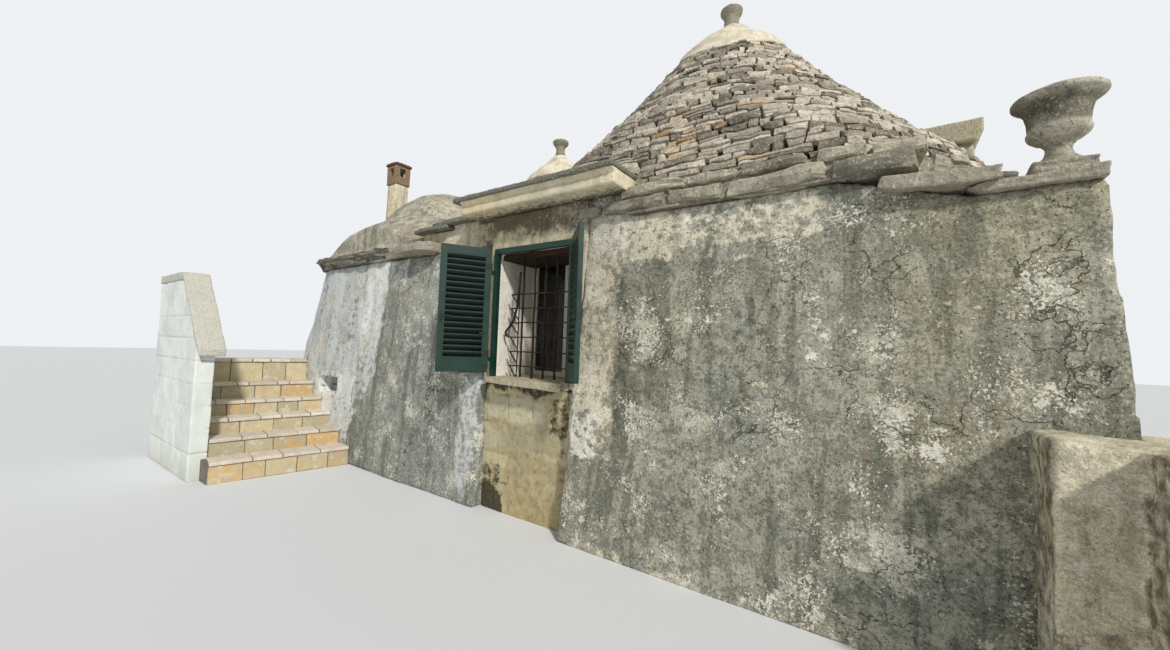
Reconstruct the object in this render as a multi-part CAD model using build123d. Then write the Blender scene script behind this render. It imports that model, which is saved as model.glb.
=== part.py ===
# Trullo house: a dry-stone hut with a battered plastered wall, a main cone, a second cone and a low dome.
# Millimetres. The plan frame used below has its origin at the foot of the south wall's left arris,
# +X along the south wall to the east, +Y inwards to the north, +Z up from the yard.
# At the end every piece is shifted so that the origin is the bottom centre of the whole house.
import math
import os

from build123d import *

# Level of the street and terrace above the yard
STREET_Z = 1280.0

# Main block: outer faces at the foot, and how far they lean in over WALL_TOP
WALL_TOP = 2710.0
SOUTH_BATTER = 200.0
EAST_BATTER = 120.0
NORTH_BATTER = 200.0
ARRIS_LEAN = 100.0           # the left arris of the south wall leans to the east
EAST_X = 3250.0
NORTH_Y = 4800.0
DECK_THICK = 210.0
DECK_Z = WALL_TOP - DECK_THICK
ROOM_X0 = -1050.0
ROOM_X1 = 2450.0
ROOM_Y0 = 800.0
ROOM_Y1 = 3650.0
CORNER_FALL_X0 = 1960.0      # the wall top falls towards the east corner
CORNER_FALL_X1 = 2630.0
CORNER_DROP = 202.0
CORNER_TOP = WALL_TOP - CORNER_DROP

# Window: outer edge of its green frame, and the way through inside it
WINDOW_WIDE = 1000.0
WINDOW_TALL = 1270.0
WINDOW_X0 = -WINDOW_WIDE
WINDOW_X1 = 0.0
SILL_TOP = 1290.0
SILL_THICK = 70.0
SILL_LEDGE = 160.0           # how far the sill stands out of the bay
WINDOW_TOP = SILL_TOP + WINDOW_TALL
JAMB_LAP = 46.0              # how far the frame laps over each jamb
HEAD_LAP = 45.0
OPENING_X0 = WINDOW_X0 + JAMB_LAP
OPENING_X1 = WINDOW_X1 - JAMB_LAP
OPENING_TOP = WINDOW_TOP - HEAD_LAP
FRAME_BAR = 55.0
FRAME_DEPTH = 40.0
SOFFIT_THICK = 60.0
SOFFIT_BACK = 40.0           # the boards start behind the bay's face
CASEMENT_INSET = 520.0       # inner casement behind the bay's face
CASEMENT_BAR = 50.0
CASEMENT_DEPTH = 45.0
GLASS_THICK = 5.0

# Window bay in the south side
BAY_Y = 160.0
BAY_JAMB = 90.0
BAY_X0 = WINDOW_X0 - BAY_JAMB
BAY_SHOULDER = 250.0         # the bay's top is wider than its foot, to the west
BAY_SHOULDER_X = BAY_X0 - BAY_SHOULDER
SHOULDER_Y = 250.0
BAY_RISE = 200.0
BAY_TOP = WALL_TOP + BAY_RISE
FRAME_Y = BAY_Y - FRAME_DEPTH
CASEMENT_Y = BAY_Y + CASEMENT_INSET

# Shutters: two hinged louvred leaves
LEAF_LIFT = 40.0             # foot of a leaf above the sill
LEAF_Z0 = SILL_TOP + LEAF_LIFT
LEAF_GAP = 6.0
LEAF_THICK = 36.0
LEAF_STILE = 60.0
LEAF_RAIL = 75.0
LEAF_PANEL = 70.0            # solid panel at the foot of a leaf
PANEL_SUNK = 9.0
LOUVRE_COUNT = 18
LOUVRE_THICK = 8.0
LOUVRE_TILT = 54.0
LOUVRE_LAP = 1.12            # a slat's width as a share of the pitch
LOUVRE_TENON = 4.0
HINGE_OUT = 26.0             # hinge axis in front of the frame
HINGE_ASIDE = 4.0            # hinge axis outside the frame's edge
HINGE_INSET = 180.0          # hinges from a leaf's top and foot
HINGE_TALL = 70.0
HINGE_BRACKET = 40.0         # height of the fixed knuckle under each leaf's barrel
HINGE_SEAT = 0.3
HINGE_STRAP = 6.0
PIN_R = 7.0
LEFT_OPEN = 120.0            # degrees from closed, as photographed
RIGHT_OPEN = 134.0

# Grille
GRILLE_INSET = 90.0          # behind the bay's face
GRILLE_BAR = 14.0
GRILLE_COLUMNS = 6
GRILLE_ROWS = 6
GRILLE_LIFT = 110.0          # lowest cross bar above the sill
GRILLE_PITCH = 142.0

# Cornice over the bay
CORNICE_X0 = BAY_SHOULDER_X - 80.0
CORNICE_X1 = 500.0
CORNICE_Y = -100.0
CORNICE_SLAB = 45.0
CORNICE_BAND = 130.0
CORNICE_SET_BACK = 50.0
CORNICE_DEPTH = 650.0
CORNICE_END = 75.0           # the band ends short of the slab at its west end
BAY_END_X = CORNICE_X1 - 10.0

# Street gable on the east side, with the street door set back in a recess
GABLE_Y0 = 1750.0
GABLE_Y1 = 3050.0
GABLE_X = 2840.0
GABLE_THICK = 240.0
GABLE_OVER_DOOR = 250.0
GABLE_BAND = 80.0
GABLE_SLAB = 100.0
GABLE_LEDGE = 50.0
GABLE_SLAB_BACK = 490.0      # how far the slab reaches back from the gable's face
DOOR_JAMB = 230.0
DOOR_Y0 = GABLE_Y0 + DOOR_JAMB
DOOR_Y1 = GABLE_Y1 - DOOR_JAMB
DOOR_TALL = 1870.0
DOOR_TOP = STREET_Z + DOOR_TALL
DOOR_THICK = 50.0
DOOR_FRAME = 60.0
DOOR_INSET = 20.0
DOOR_GROOVE = 4.0
THRESHOLD = 60.0
GABLE_TOP = DOOR_TOP + GABLE_OVER_DOOR

# Main cone: (radius, rise over the wall top) of the masonry, from the eaves to the white cap
MAIN_AXIS = (690.0, 2200.0)
MAIN_PROFILE = [
    (2420, 0), (2420, 250), (2210, 490), (1915, 790), (1632, 1090),
    (1360, 1390), (1110, 1690), (865, 1990), (625, 2290),
]
MAIN_INNER_R = 1700.0
MAIN_INNER_TOP_R = 120.0
MAIN_HOLLOW_RISE = 1750.0
MAIN_EAVE = 190.0            # height of the eave course under the cone
MAIN_CAP = [(640, 0), (548, 100), (436, 205), (318, 315), (204, 422), (112, 500)]
FRONT_FLAT_BACK = 50.0       # the eaves follow the south wall instead of the circle
FRONT_FLAT_Y = SOUTH_BATTER - FRONT_FLAT_BACK
FRONT_FLAT_SLOPE = 0.36
FINIAL_TALL = 240.0
FINIAL_R = 128.0
FINIAL_NECK = 84.0
# Outline of a finial as (share of its height, share of its neck or head radius)
FINIAL_STEM = [(0.0, 1.14), (0.2, 1.04), (0.4, 1.0), (0.55, 1.06)]
FINIAL_HEAD = [(0.72, 0.85), (0.84, 0.97), (0.95, 1.0), (1.0, 0.93)]

# Courses of dry stones, which step back up a cone
CONE_COURSE = 66.0
COURSE_LEAN = 0.45           # how much of the slope is in the face of a course, the rest in its ledge

# West block, with round corners given as (centre x, centre y, radius, z)
WEST_DROP = 60.0
WEST_TOP = WALL_TOP - WEST_DROP
WEST_ROOM_X0 = -4350.0
MIDDLE_THICK = 700.0
MIDDLE_X0 = ROOM_X0 - MIDDLE_THICK
SPLIT_X = -3900.0            # where the round corners meet the straight walls
CORNER_RINGS = [
    (-4760.0, 1400.0, 1355.0, 0.0),
    (-4760.0, 1400.0, 1300.0, STREET_Z),
    (-4550.0, 1400.0, 1150.0, WEST_TOP),
]
ARCH_WIDTH = 1100.0
ARCH_SPRING = 1500.0

# Small vent recess above the stair
VENT_X = -4195.0
VENT_WIDE = 490.0
VENT_Z0 = 860.0
VENT_TALL = 210.0
VENT_DEPTH = 420.0

# Eave stones of the west block
EAVE_COURSE = 75.0
EAVE_COUNT = 2
EAVE_OVERHANG = 90.0
EAVE_STEP = 0.6              # overhang of the lower course as a share of the upper one
EAVE_END_X = -2700.0         # east of this the plaster runs up without an eave
WEST_EAVE_TOP = WEST_TOP + EAVE_COUNT * EAVE_COURSE

# Second cone, behind the bay: (radius, rise over the west block's top)
SECOND_AXIS = (-2400.0, 2830.0)
SECOND_PROFILE = [(1760, 50), (1740, 250), (1330, 800), (880, 1350), (595, 1650)]
SECOND_INNER_R = 1150.0
SECOND_INNER_TOP_R = 100.0
SECOND_HOLLOW_RISE = 1250.0
SECOND_CAP = [(610, 0), (500, 150), (320, 320), (200, 460), (90, 580)]
SECOND_FINIAL_TALL = 250.0
SECOND_FINIAL_R = 135.0
SECOND_FINIAL_NECK = 75.0

# Low plastered dome over the west room's south corner: (radius, rise over the eave stones)
DOME_AXIS = (-3600.0, 1500.0)
DOME_PROFILE = [
    (1680, 0), (1480, 200), (1230, 400), (940, 580), (840, 720), (700, 860), (520, 1010), (350, 1090),
    (0, 1130),
]
DOME_INNER_R = 850.0
DOME_INNER_TOP_R = 300.0
DOME_HOLLOW_RISE = 600.0
DOME_LEDGE = 60.0            # the dome may reach this far over the wall's face

# Rubble and thin slabs beside the bay, and the bracket stone under them
SIDE_RISE = 195.0
SIDE_TOP = WALL_TOP + SIDE_RISE
SIDE_WIDE = 1055.0
SIDE_X0 = BAY_SHOULDER_X - SIDE_WIDE
SIDE_Y0 = 265.0
SIDE_Y1 = 900.0
SIDE_SLAB = 50.0
SIDE_SPLIT = 545.0           # the upper slab's rubble starts this far right of the rubble's end
LOW_SLAB_FRONT = [(-115, 190), (95, 150), (535, 170)]       # (x from the rubble's end, y)
HIGH_SLAB_FRONT = [(195, 230), (395, 190), (805, 170)]
HIGH_SLAB_END_Y = 240.0
SLAB_BACK_Y = 860.0
BRACKET_OUTLINE = [(-290, 90), (-60, 20), (200, 30), (330, 110), (320, 500), (-280, 500)]
BRACKET_LIFT = 10.0
BRACKET_THICK = 105.0

# Chimney
CHIMNEY_X = -4640.0
CHIMNEY_Y = 1240.0
CHIMNEY_SIDE = 240.0
CHIMNEY_TALL = 1440.0
CHIMNEY_HEAD = 320.0
CHIMNEY_HEAD_OUT = 12.0
CHIMNEY_BRICK = 50.0         # thickness of the head's sides
CHIMNEY_SLOT = 100.0
CHIMNEY_SLOT_UP = 140.0
CHIMNEY_LINTEL = 50.0
CHIMNEY_CAP = 40.0
CHIMNEY_CAP_OUT = 30.0

# Corner slabs, pedestal and urn on the south-east corner
CORNER_SLAB = 72.0
CORNER_SLAB_TOP = CORNER_TOP + CORNER_SLAB
CORNER_SLAB_X0 = 2615.0
CORNER_SLAB_X1 = 3142.0
CORNER_SLAB_Y0 = 140.0
CORNER_SLAB_Y1 = 900.0
UPPER_SLAB_Y0 = 100.0
UPPER_SLAB = [               # (x from the lower slab's end, height over the lower one's bed)
    (-410, 92), (-325, 67), (-15, 44), (145, 50), (140, 122), (-115, 142), (-385, 160),
]
SLAB_TIP = 34.0              # the lower slab tapers to its west end
SLAB_FALL = 18.0
PEDESTAL_SIDE = 240.0
PEDESTAL_TALL = 64.0
URN_X = 3006.0
URN_Y = 330.0
URN_TALL = 380.0
URN_RIM_R = 184.0
# Outline of the urn from foot to rim, and down into its bowl, as shares of its rim radius and height
URN_OUTSIDE = [
    (0.52, 0.0), (0.5, 0.05), (0.32, 0.13), (0.27, 0.21), (0.29, 0.28), (0.37, 0.31), (0.37, 0.34),
    (0.5, 0.36), (0.64, 0.42), (0.68, 0.47), (0.68, 0.5), (0.64, 0.52), (0.66, 0.66), (0.72, 0.8),
    (0.86, 0.89), (0.99, 0.92), (1.0, 0.97), (0.96, 1.0),
]
URN_BOWL = [(0.815, 1.0), (0.6, 0.82), (0.5, 0.6), (0.35, 0.52), (0.0, 0.5)]

# Stair and parapet
STEP_RISES = (230.0, 195.0, 180.0, 175.0, 200.0)    # one more step rises the rest to the street
STEP_COUNT = len(STEP_RISES) + 1
STEP_GOING = 290.0
STEP_X = -3450.0
STEP_SKEW = math.tan(math.radians(10.23))
STEP_WALL_Y = 150.0          # the nosings run on to this line, inside the wall
STAIR_Y = -1250.0
STEP_LAP = 60.0              # the lowest step runs on this far before the parapet's end
LANDING = 447.0              # from the top nosing's outer end to the landing's end
TREAD_THICK = 36.0
NOSING = 18.0
PARAPET_THICK = 170.0
PARAPET_SET_BACK = 500.0     # parapet's front end behind the lowest step
PARAPET_SLOPED = 670.0
PARAPET_LOW = 175.0          # front end of the parapet over the street
PARAPET_HIGH = 965.0         # level stretch of the parapet over the street
COPING_THICK = 100.0
COPING_OUT = 75.0            # how far the coping stands over the stair
COPING_LIP = 8.0             # and over the parapet's outer face
COPING_FRONT = 90.0

# Corner pier of the street wall, in two steps
PIER_LAP = 420.0             # how far it covers the south wall's end
PIER_LONG = 590.0
PIER_Y0 = -290.0
PIER_Y1 = 255.0
PIER_STEP = 255.0
PIER_STEP_Y = -640.0

FAR = 9000.0                 # beyond every piece
CUT = 10.0                   # how far a cutting solid runs past what it cuts


def plan(points, z0, z1):
    """Prism of a plan outline."""
    face = Face(Wire.make_polygon([(x, y, z0) for x, y in points]))
    return extrude(face, amount=z1 - z0, dir=(0, 0, 1))


def box(x0, x1, y0, y1, z0, z1):
    """Box by its limits."""
    return plan([(x0, y0), (x1, y0), (x1, y1), (x0, y1)], z0, z1)


def side_xz(points, y0, y1):
    """Prism of an outline seen from the south."""
    face = Face(Wire.make_polygon([(x, y0, z) for x, z in points]))
    return extrude(face, amount=y1 - y0, dir=(0, 1, 0))


def side_yz(points, x0, x1):
    """Prism of an outline seen from the east."""
    face = Face(Wire.make_polygon([(x0, y, z) for y, z in points]))
    return extrude(face, amount=x1 - x0, dir=(1, 0, 0))


def turned(axis, points):
    """Solid of revolution about a vertical axis from (radius, height) points."""
    face = Face(Wire.make_polygon([(r, 0, z) for r, z in points]))
    return Pos(axis[0], axis[1], 0) * revolve(face, Axis.Z, 360)


def raised(points, z):
    """(radius, rise) points lifted to a height."""
    return [(r, z + rise) for r, rise in points]


def south_y(z):
    """Outer face of the south wall at a height."""
    return SOUTH_BATTER * z / WALL_TOP


def east_x(z):
    """Outer face of the east wall at a height."""
    return EAST_X - EAST_BATTER * z / WALL_TOP


def north_y(z):
    """Outer face of the north wall at a height."""
    return NORTH_Y - NORTH_BATTER * z / WALL_TOP


def above_front():
    """The space that the main cone may fill: north of its flattened front."""
    rise = MAIN_PROFILE[-1][1] + CUT
    top = WALL_TOP + rise
    foot = FRONT_FLAT_Y
    points = [(foot, 0), (FAR, 0), (FAR, top), (foot + FRONT_FLAT_SLOPE * rise, top), (foot, WALL_TOP)]
    return side_yz(points, -FAR, FAR)


def bay_space():
    """The space of the bay's upper wall, the south wall's raised end and the cornice."""
    wall = box(BAY_SHOULDER_X, BAY_END_X, 0.0, ROOM_Y0, WEST_TOP, BAY_TOP)
    top = BAY_TOP + CORNICE_BAND + CORNICE_SLAB
    return wall + box(CORNICE_X0, CORNICE_X1, CORNICE_Y, CORNICE_Y + CORNICE_DEPTH, BAY_TOP, top)


def gable_space():
    """The space of the street recess, the gable wall and its cornice."""
    top = GABLE_TOP + GABLE_BAND + GABLE_SLAB
    recess = box(GABLE_X - GABLE_THICK, FAR, GABLE_Y0, GABLE_Y1, STREET_Z, top)
    slab = box(GABLE_X - GABLE_SLAB_BACK, FAR, GABLE_Y0 - GABLE_LEDGE, GABLE_Y1 + GABLE_LEDGE, GABLE_TOP, top)
    return recess + slab


def door_way():
    """The way in from the street door to the main room."""
    return box(MAIN_AXIS[0], GABLE_X + CUT, DOOR_Y0, DOOR_Y1, STREET_Z, DOOR_TOP)


def south_wall():
    """Battered wall right of the window bay, with the falling top and the raised left end."""
    outline = [
        (0, 0), (EAST_X, 0), (east_x(CORNER_TOP), CORNER_TOP), (CORNER_FALL_X1, CORNER_TOP),
        (CORNER_FALL_X0, WALL_TOP), (BAY_END_X, WALL_TOP), (BAY_END_X, BAY_TOP),
        (ARRIS_LEAN, BAY_TOP), (ARRIS_LEAN, WALL_TOP),
    ]
    body = side_xz(outline, 0.0, ROOM_Y0)
    section = [(0, 0), (ROOM_Y0, 0), (ROOM_Y0, BAY_TOP), (south_y(BAY_TOP), BAY_TOP)]
    return body & side_yz(section, -CUT, EAST_X + CUT)


def bay_infill_wall():
    """Tufo blocks that close the old doorway under the window."""
    return box(BAY_X0, 0.0, BAY_Y, ROOM_Y0, 0.0, SILL_TOP - SILL_THICK)


def window_hole():
    """Opening of the window, through the whole wall."""
    return box(OPENING_X0, OPENING_X1, 0.0, ROOM_Y0 + CUT, SILL_TOP - SILL_THICK, OPENING_TOP)


def bay_upper_wall():
    """Plastered wall round the window, up to the cornice."""
    body = box(BAY_X0, ARRIS_LEAN, BAY_Y, ROOM_Y0, SILL_TOP - SILL_THICK, BAY_TOP)
    body += box(BAY_SHOULDER_X, BAY_X0, SHOULDER_Y, ROOM_Y0, WEST_TOP, BAY_TOP)
    return body - window_hole() - south_wall()


def window_sill():
    """Worn stone sill with an uneven front."""
    back = CASEMENT_Y + CASEMENT_DEPTH
    front = BAY_Y - SILL_LEDGE
    x0 = WINDOW_X0
    x1 = WINDOW_X1
    outline = [
        (OPENING_X0, back), (OPENING_X0, BAY_Y), (x0 - 5, BAY_Y), (x0, front + 45),
        (x0 + 60, front + 12), (x0 + 300, front), (x1 - 250, front + 8), (x1 - 45, front),
        (x1 - 20, front + 22), (x1 - 140, BAY_Y), (OPENING_X1, BAY_Y), (OPENING_X1, back),
    ]
    return plan(outline, SILL_TOP - SILL_THICK, SILL_TOP)


def soffit_boards():
    """Boards under the lintel inside the window reveal."""
    y0 = BAY_Y + SOFFIT_BACK
    return box(OPENING_X0, OPENING_X1, y0, CASEMENT_Y, OPENING_TOP - SOFFIT_THICK, OPENING_TOP)


def rect_frame(x0, x1, z0, z1, bar, y0, depth):
    """Rectangular frame standing in the XZ plane."""
    outer = box(x0, x1, y0, y0 + depth, z0, z1)
    return outer - box(x0 + bar, x1 - bar, y0 - CUT, y0 + depth + CUT, z0 + bar, z1 - bar)


def hinge_heights():
    """Middle heights of a leaf's two hinges."""
    return (LEAF_Z0 + HINGE_INSET, WINDOW_TOP - LEAF_GAP - HINGE_INSET)


def shutter_frame():
    """Green posts and head fixed on the bay wall, with a fixed knuckle under each barrel of the leaves."""
    back = FRAME_Y + FRAME_DEPTH
    frame = box(WINDOW_X0, WINDOW_X1, FRAME_Y, back, SILL_TOP, WINDOW_TOP)
    frame -= box(
        WINDOW_X0 + FRAME_BAR, WINDOW_X1 - FRAME_BAR, FRAME_Y - CUT, back + CUT,
        SILL_TOP - CUT, WINDOW_TOP - FRAME_BAR,
    )
    hinge_y = FRAME_Y - HINGE_OUT
    arm = PIN_R - 1.0
    for x in (WINDOW_X0 - HINGE_ASIDE, WINDOW_X1 + HINGE_ASIDE):
        for z in hinge_heights():
            z1 = z - HINGE_TALL / 2 - HINGE_SEAT
            z0 = z1 - HINGE_BRACKET
            frame += Pos(x, hinge_y, (z0 + z1) / 2) * Cylinder(PIN_R, HINGE_BRACKET)
            frame += box(x - arm, x + arm, hinge_y, FRAME_Y + FRAME_DEPTH / 2, z0, z1)
    return frame


def casement_frame():
    """White inner casement: frame and one mullion."""
    y1 = CASEMENT_Y + CASEMENT_DEPTH
    frame = rect_frame(OPENING_X0, OPENING_X1, SILL_TOP, OPENING_TOP, CASEMENT_BAR, CASEMENT_Y, CASEMENT_DEPTH)
    mid = (OPENING_X0 + OPENING_X1) / 2.0
    return frame + box(mid - CASEMENT_BAR / 2, mid + CASEMENT_BAR / 2, CASEMENT_Y, y1, SILL_TOP, OPENING_TOP)


def casement_glass():
    """Two panes in the casement."""
    mid = (OPENING_X0 + OPENING_X1) / 2.0
    y0 = CASEMENT_Y + (CASEMENT_DEPTH - GLASS_THICK) / 2.0
    y1 = y0 + GLASS_THICK
    low = SILL_TOP + CASEMENT_BAR
    high = OPENING_TOP - CASEMENT_BAR
    left = box(OPENING_X0 + CASEMENT_BAR, mid - CASEMENT_BAR / 2, y0, y1, low, high)
    right = box(mid + CASEMENT_BAR / 2, OPENING_X1 - CASEMENT_BAR, y0, y1, low, high)
    return Compound([left, right])


def window_grille():
    """Wrought bars: uprights and cross bars let into the reveal, the sill and the soffit."""
    y0 = BAY_Y + GRILLE_INSET
    y1 = y0 + GRILLE_BAR
    half = GRILLE_BAR / 2.0
    pitch = (OPENING_X1 - OPENING_X0) / (GRILLE_COLUMNS + 1)
    foot = SILL_TOP + GRILLE_LIFT
    grille = box(OPENING_X0, OPENING_X1, y0, y1, foot - half, foot + half)
    for k in range(1, GRILLE_ROWS):
        z = foot + k * GRILLE_PITCH
        grille += box(OPENING_X0, OPENING_X1, y0, y1, z - half, z + half)
    for i in range(GRILLE_COLUMNS):
        x = OPENING_X0 + (i + 1) * pitch
        grille += box(x - half, x + half, y0, y1, SILL_TOP, OPENING_TOP - SOFFIT_THICK)
    return grille


def leaf():
    """One louvred leaf in the XZ plane: the hinge axis is x = 0, y = 0 and the leaf runs to +X."""
    width = (WINDOW_X1 - WINDOW_X0) / 2.0 - LEAF_GAP
    z1 = WINDOW_TOP - LEAF_GAP
    x0 = PIN_R + 1.0
    half = LEAF_THICK / 2.0
    inner0 = x0 + LEAF_STILE
    inner1 = width - LEAF_STILE
    panel_z0 = LEAF_Z0 + LEAF_RAIL
    louvre_z0 = panel_z0 + LEAF_PANEL
    louvre_z1 = z1 - LEAF_RAIL
    body = box(x0, width, -half, half, LEAF_Z0, z1)
    body -= box(inner0, inner1, -half - CUT, half + CUT, louvre_z0, louvre_z1)
    body -= box(inner0, inner1, -half - CUT, -half + PANEL_SUNK, panel_z0, louvre_z0 - LEAF_RAIL / 2)
    pitch = (louvre_z1 - louvre_z0) / LOUVRE_COUNT
    deep = half - 2.0
    room = box(
        inner0 - LOUVRE_TENON, inner1 + LOUVRE_TENON, -deep, deep,
        louvre_z0 - LOUVRE_TENON, louvre_z1 + LOUVRE_TENON,
    )
    for k in range(LOUVRE_COUNT):
        slat = Box(inner1 - inner0 + 2 * LOUVRE_TENON, pitch * LOUVRE_LAP, LOUVRE_THICK)
        centre = Pos((inner0 + inner1) / 2.0, 0, louvre_z0 + (k + 0.5) * pitch)
        body += (centre * Rot(LOUVRE_TILT, 0, 0) * slat) & room
    strap = HINGE_STRAP / 2.0
    for z in hinge_heights():
        body += Pos(0, 0, z) * Cylinder(PIN_R, HINGE_TALL)
        body += box(0, inner0 - CUT, -strap, strap, z - HINGE_TALL / 2, z + HINGE_TALL / 2)
    return body


def shutter(side):
    """A leaf turned open about its hinge, as photographed."""
    hinge_y = FRAME_Y - HINGE_OUT
    if side == "left":
        return Pos(WINDOW_X0 - HINGE_ASIDE, hinge_y, 0) * Rot(0, 0, -LEFT_OPEN) * leaf()
    return Pos(WINDOW_X1 + HINGE_ASIDE, hinge_y, 0) * Rot(0, 0, RIGHT_OPEN) * mirror(leaf(), about=Plane.YZ)


def bay_cornice_band():
    """Moulded band under the cornice slab: a fascia with a hollow above it."""
    front = CORNICE_Y + CORNICE_SET_BACK
    back = CORNICE_Y + CORNICE_DEPTH
    z0 = BAY_TOP
    z1 = BAY_TOP + CORNICE_BAND
    section = [
        (front + 10, z0), (back, z0), (back, z1), (front - 25, z1), (front - 22, z1 - 18),
        (front + 12, z1 - 34), (front + 12, z1 - 46), (front, z1 - 52), (front, z0 + 12),
    ]
    return side_yz(section, CORNICE_X0 + CORNICE_END, BAY_END_X)


def bay_cornice_slab():
    """Thin stone slab over the bay."""
    z0 = BAY_TOP + CORNICE_BAND
    return box(CORNICE_X0, CORNICE_X1, CORNICE_Y, CORNICE_Y + CORNICE_DEPTH, z0, z0 + CORNICE_SLAB)


def ring_at(z):
    """Round corner at a height: centre x, centre y and radius."""
    for low, high in zip(CORNER_RINGS[:-1], CORNER_RINGS[1:]):
        if z <= high[3]:
            share = (z - low[3]) / (high[3] - low[3])
            return [a + (b - a) * share for a, b in zip(low[:3], high[:3])]
    return CORNER_RINGS[-1][:3]


def west_front_y(z):
    """Face of the west block's front at a height."""
    ring = ring_at(z)
    return ring[1] - ring[2]


def west_end_x(z):
    """Face of the west block's end at a height."""
    ring = ring_at(z)
    return ring[0] - ring[2]


def mirror_y(y):
    """The north twin of a place in the south of the west block."""
    return NORTH_Y + west_front_y(0.0) - y


def ring_levels():
    """Heights at which the west block's batter changes."""
    return [ring[3] for ring in CORNER_RINGS]


def left_front_wall():
    """Battered front wall left of the bay."""
    section = [(west_front_y(z), z) for z in ring_levels()] + [(ROOM_Y0, WEST_TOP), (ROOM_Y0, 0)]
    return side_yz(section, SPLIT_X, BAY_X0)


def west_wall():
    """Battered end wall between the two round corners."""
    section = [(west_end_x(z), z) for z in ring_levels()] + [(WEST_ROOM_X0, WEST_TOP), (WEST_ROOM_X0, 0)]
    y0 = CORNER_RINGS[0][1]
    return side_xz(section, y0, mirror_y(y0))


def ring_section(ring, north):
    """Quarter outline of a round corner at one height."""
    cx, cy, r, z = ring
    out = 1.0 if north else -1.0
    cy = mirror_y(cy) if north else cy
    half = r * math.sqrt(0.5)
    arc = Edge.make_three_point_arc((cx, cy + out * r, z), (cx - half, cy + out * half, z), (cx - r, cy, z))
    return Wire([
        arc,
        Edge.make_line((cx - r, cy, z), (SPLIT_X, cy, z)),
        Edge.make_line((SPLIT_X, cy, z), (SPLIT_X, cy + out * r, z)),
        Edge.make_line((SPLIT_X, cy + out * r, z), (cx, cy + out * r, z)),
    ])


def corner_form(north):
    """Outer form of a round battered corner of the west block."""
    sections = [ring_section(ring, north) for ring in CORNER_RINGS]
    return Solid.make_loft(sections[:2], True) + Solid.make_loft(sections[1:], True)


def corner_wall(north):
    """Round battered corner, hollow to the room; the south one has the small vent recess."""
    wall = corner_form(north) - box(WEST_ROOM_X0, 0.0, ROOM_Y0, ROOM_Y1, -CUT, WEST_TOP + CUT)
    if north:
        return wall
    half = VENT_WIDE / 2.0
    return wall - box(VENT_X - half, VENT_X + half, 0.0, VENT_DEPTH, VENT_Z0, VENT_Z0 + VENT_TALL)


def main_north_wall():
    """Battered wall along the back of the main room, with the battered north-east corner."""
    section = [(ROOM_Y1, 0), (NORTH_Y, 0), (north_y(DECK_Z), DECK_Z), (ROOM_Y1, DECK_Z)]
    face = [(MIDDLE_X0, 0), (EAST_X, 0), (east_x(DECK_Z), DECK_Z), (MIDDLE_X0, DECK_Z)]
    return side_yz(section, MIDDLE_X0, EAST_X) & side_xz(face, ROOM_Y1 - CUT, NORTH_Y + CUT)


def west_north_wall():
    """Back wall of the west block, in line with its round corner."""
    section = [(mirror_y(west_front_y(z)), z) for z in ring_levels()] + [(ROOM_Y1, WEST_TOP), (ROOM_Y1, 0)]
    return side_yz(section, SPLIT_X, MIDDLE_X0)


def middle_wall():
    """Wall between the two rooms that carries both cones, with an arched way through."""
    body = box(MIDDLE_X0, ROOM_X0, ROOM_Y0, ROOM_Y1, 0.0, DECK_Z)
    mid = (ROOM_Y0 + ROOM_Y1) / 2.0
    half = ARCH_WIDTH / 2.0
    way = box(MIDDLE_X0 - CUT, ROOM_X0 + CUT, mid - half, mid + half, -CUT, ARCH_SPRING)
    ring = Cylinder(half, MIDDLE_THICK + 2 * CUT)
    way += Pos((MIDDLE_X0 + ROOM_X0) / 2, mid, ARCH_SPRING) * Rot(0, 90, 0) * ring
    return body - way


def east_wall(y0, y1, z0, z1):
    """A stretch of the battered street wall."""
    return side_xz([(ROOM_X1, z0), (east_x(z0), z0), (east_x(z1), z1), (ROOM_X1, z1)], y0, y1)


def gable_wall():
    """Thin wall with the street door, from the street up to its cornice."""
    body = box(GABLE_X - GABLE_THICK, GABLE_X, GABLE_Y0, GABLE_Y1, STREET_Z, GABLE_TOP)
    return body - door_way()


def gable_cornice():
    """Moulded band and slab over the street gable, one worked stone."""
    z0 = GABLE_TOP
    z1 = z0 + GABLE_BAND
    z2 = z1 + GABLE_SLAB
    back = GABLE_X - GABLE_SLAB_BACK
    front = GABLE_X + GABLE_LEDGE
    section = [(back, z0), (GABLE_X + 4, z0), (front, z1), (front, z2), (back, z2)]
    return side_xz(section, GABLE_Y0 - GABLE_LEDGE, GABLE_Y1 + GABLE_LEDGE)


def street_door_frame():
    """Frame of the street door, in the gable wall."""
    x0 = GABLE_X - GABLE_THICK + DOOR_INSET
    x1 = x0 + DOOR_FRAME
    y0 = DOOR_Y0 + DOOR_FRAME
    y1 = DOOR_Y1 - DOOR_FRAME
    outer = box(x0, x1, DOOR_Y0, DOOR_Y1, STREET_Z + THRESHOLD, DOOR_TOP)
    return outer - box(x0 - CUT, x1 + CUT, y0, y1, STREET_Z, DOOR_TOP - DOOR_FRAME)


def street_door():
    """Closed boarded door in its frame, with a groove between its two leaves."""
    x0 = GABLE_X - GABLE_THICK + DOOR_INSET + (DOOR_FRAME - DOOR_THICK) / 2
    x1 = x0 + DOOR_THICK
    y0 = DOOR_Y0 + DOOR_FRAME
    y1 = DOOR_Y1 - DOOR_FRAME
    body = box(x0, x1, y0, y1, STREET_Z + THRESHOLD, DOOR_TOP - DOOR_FRAME)
    mid = (DOOR_Y0 + DOOR_Y1) / 2
    half = DOOR_GROOVE * 0.75
    return body - box(x1 - DOOR_GROOVE, x1 + CUT, mid - half, mid + half, STREET_Z, DOOR_TOP)


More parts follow.
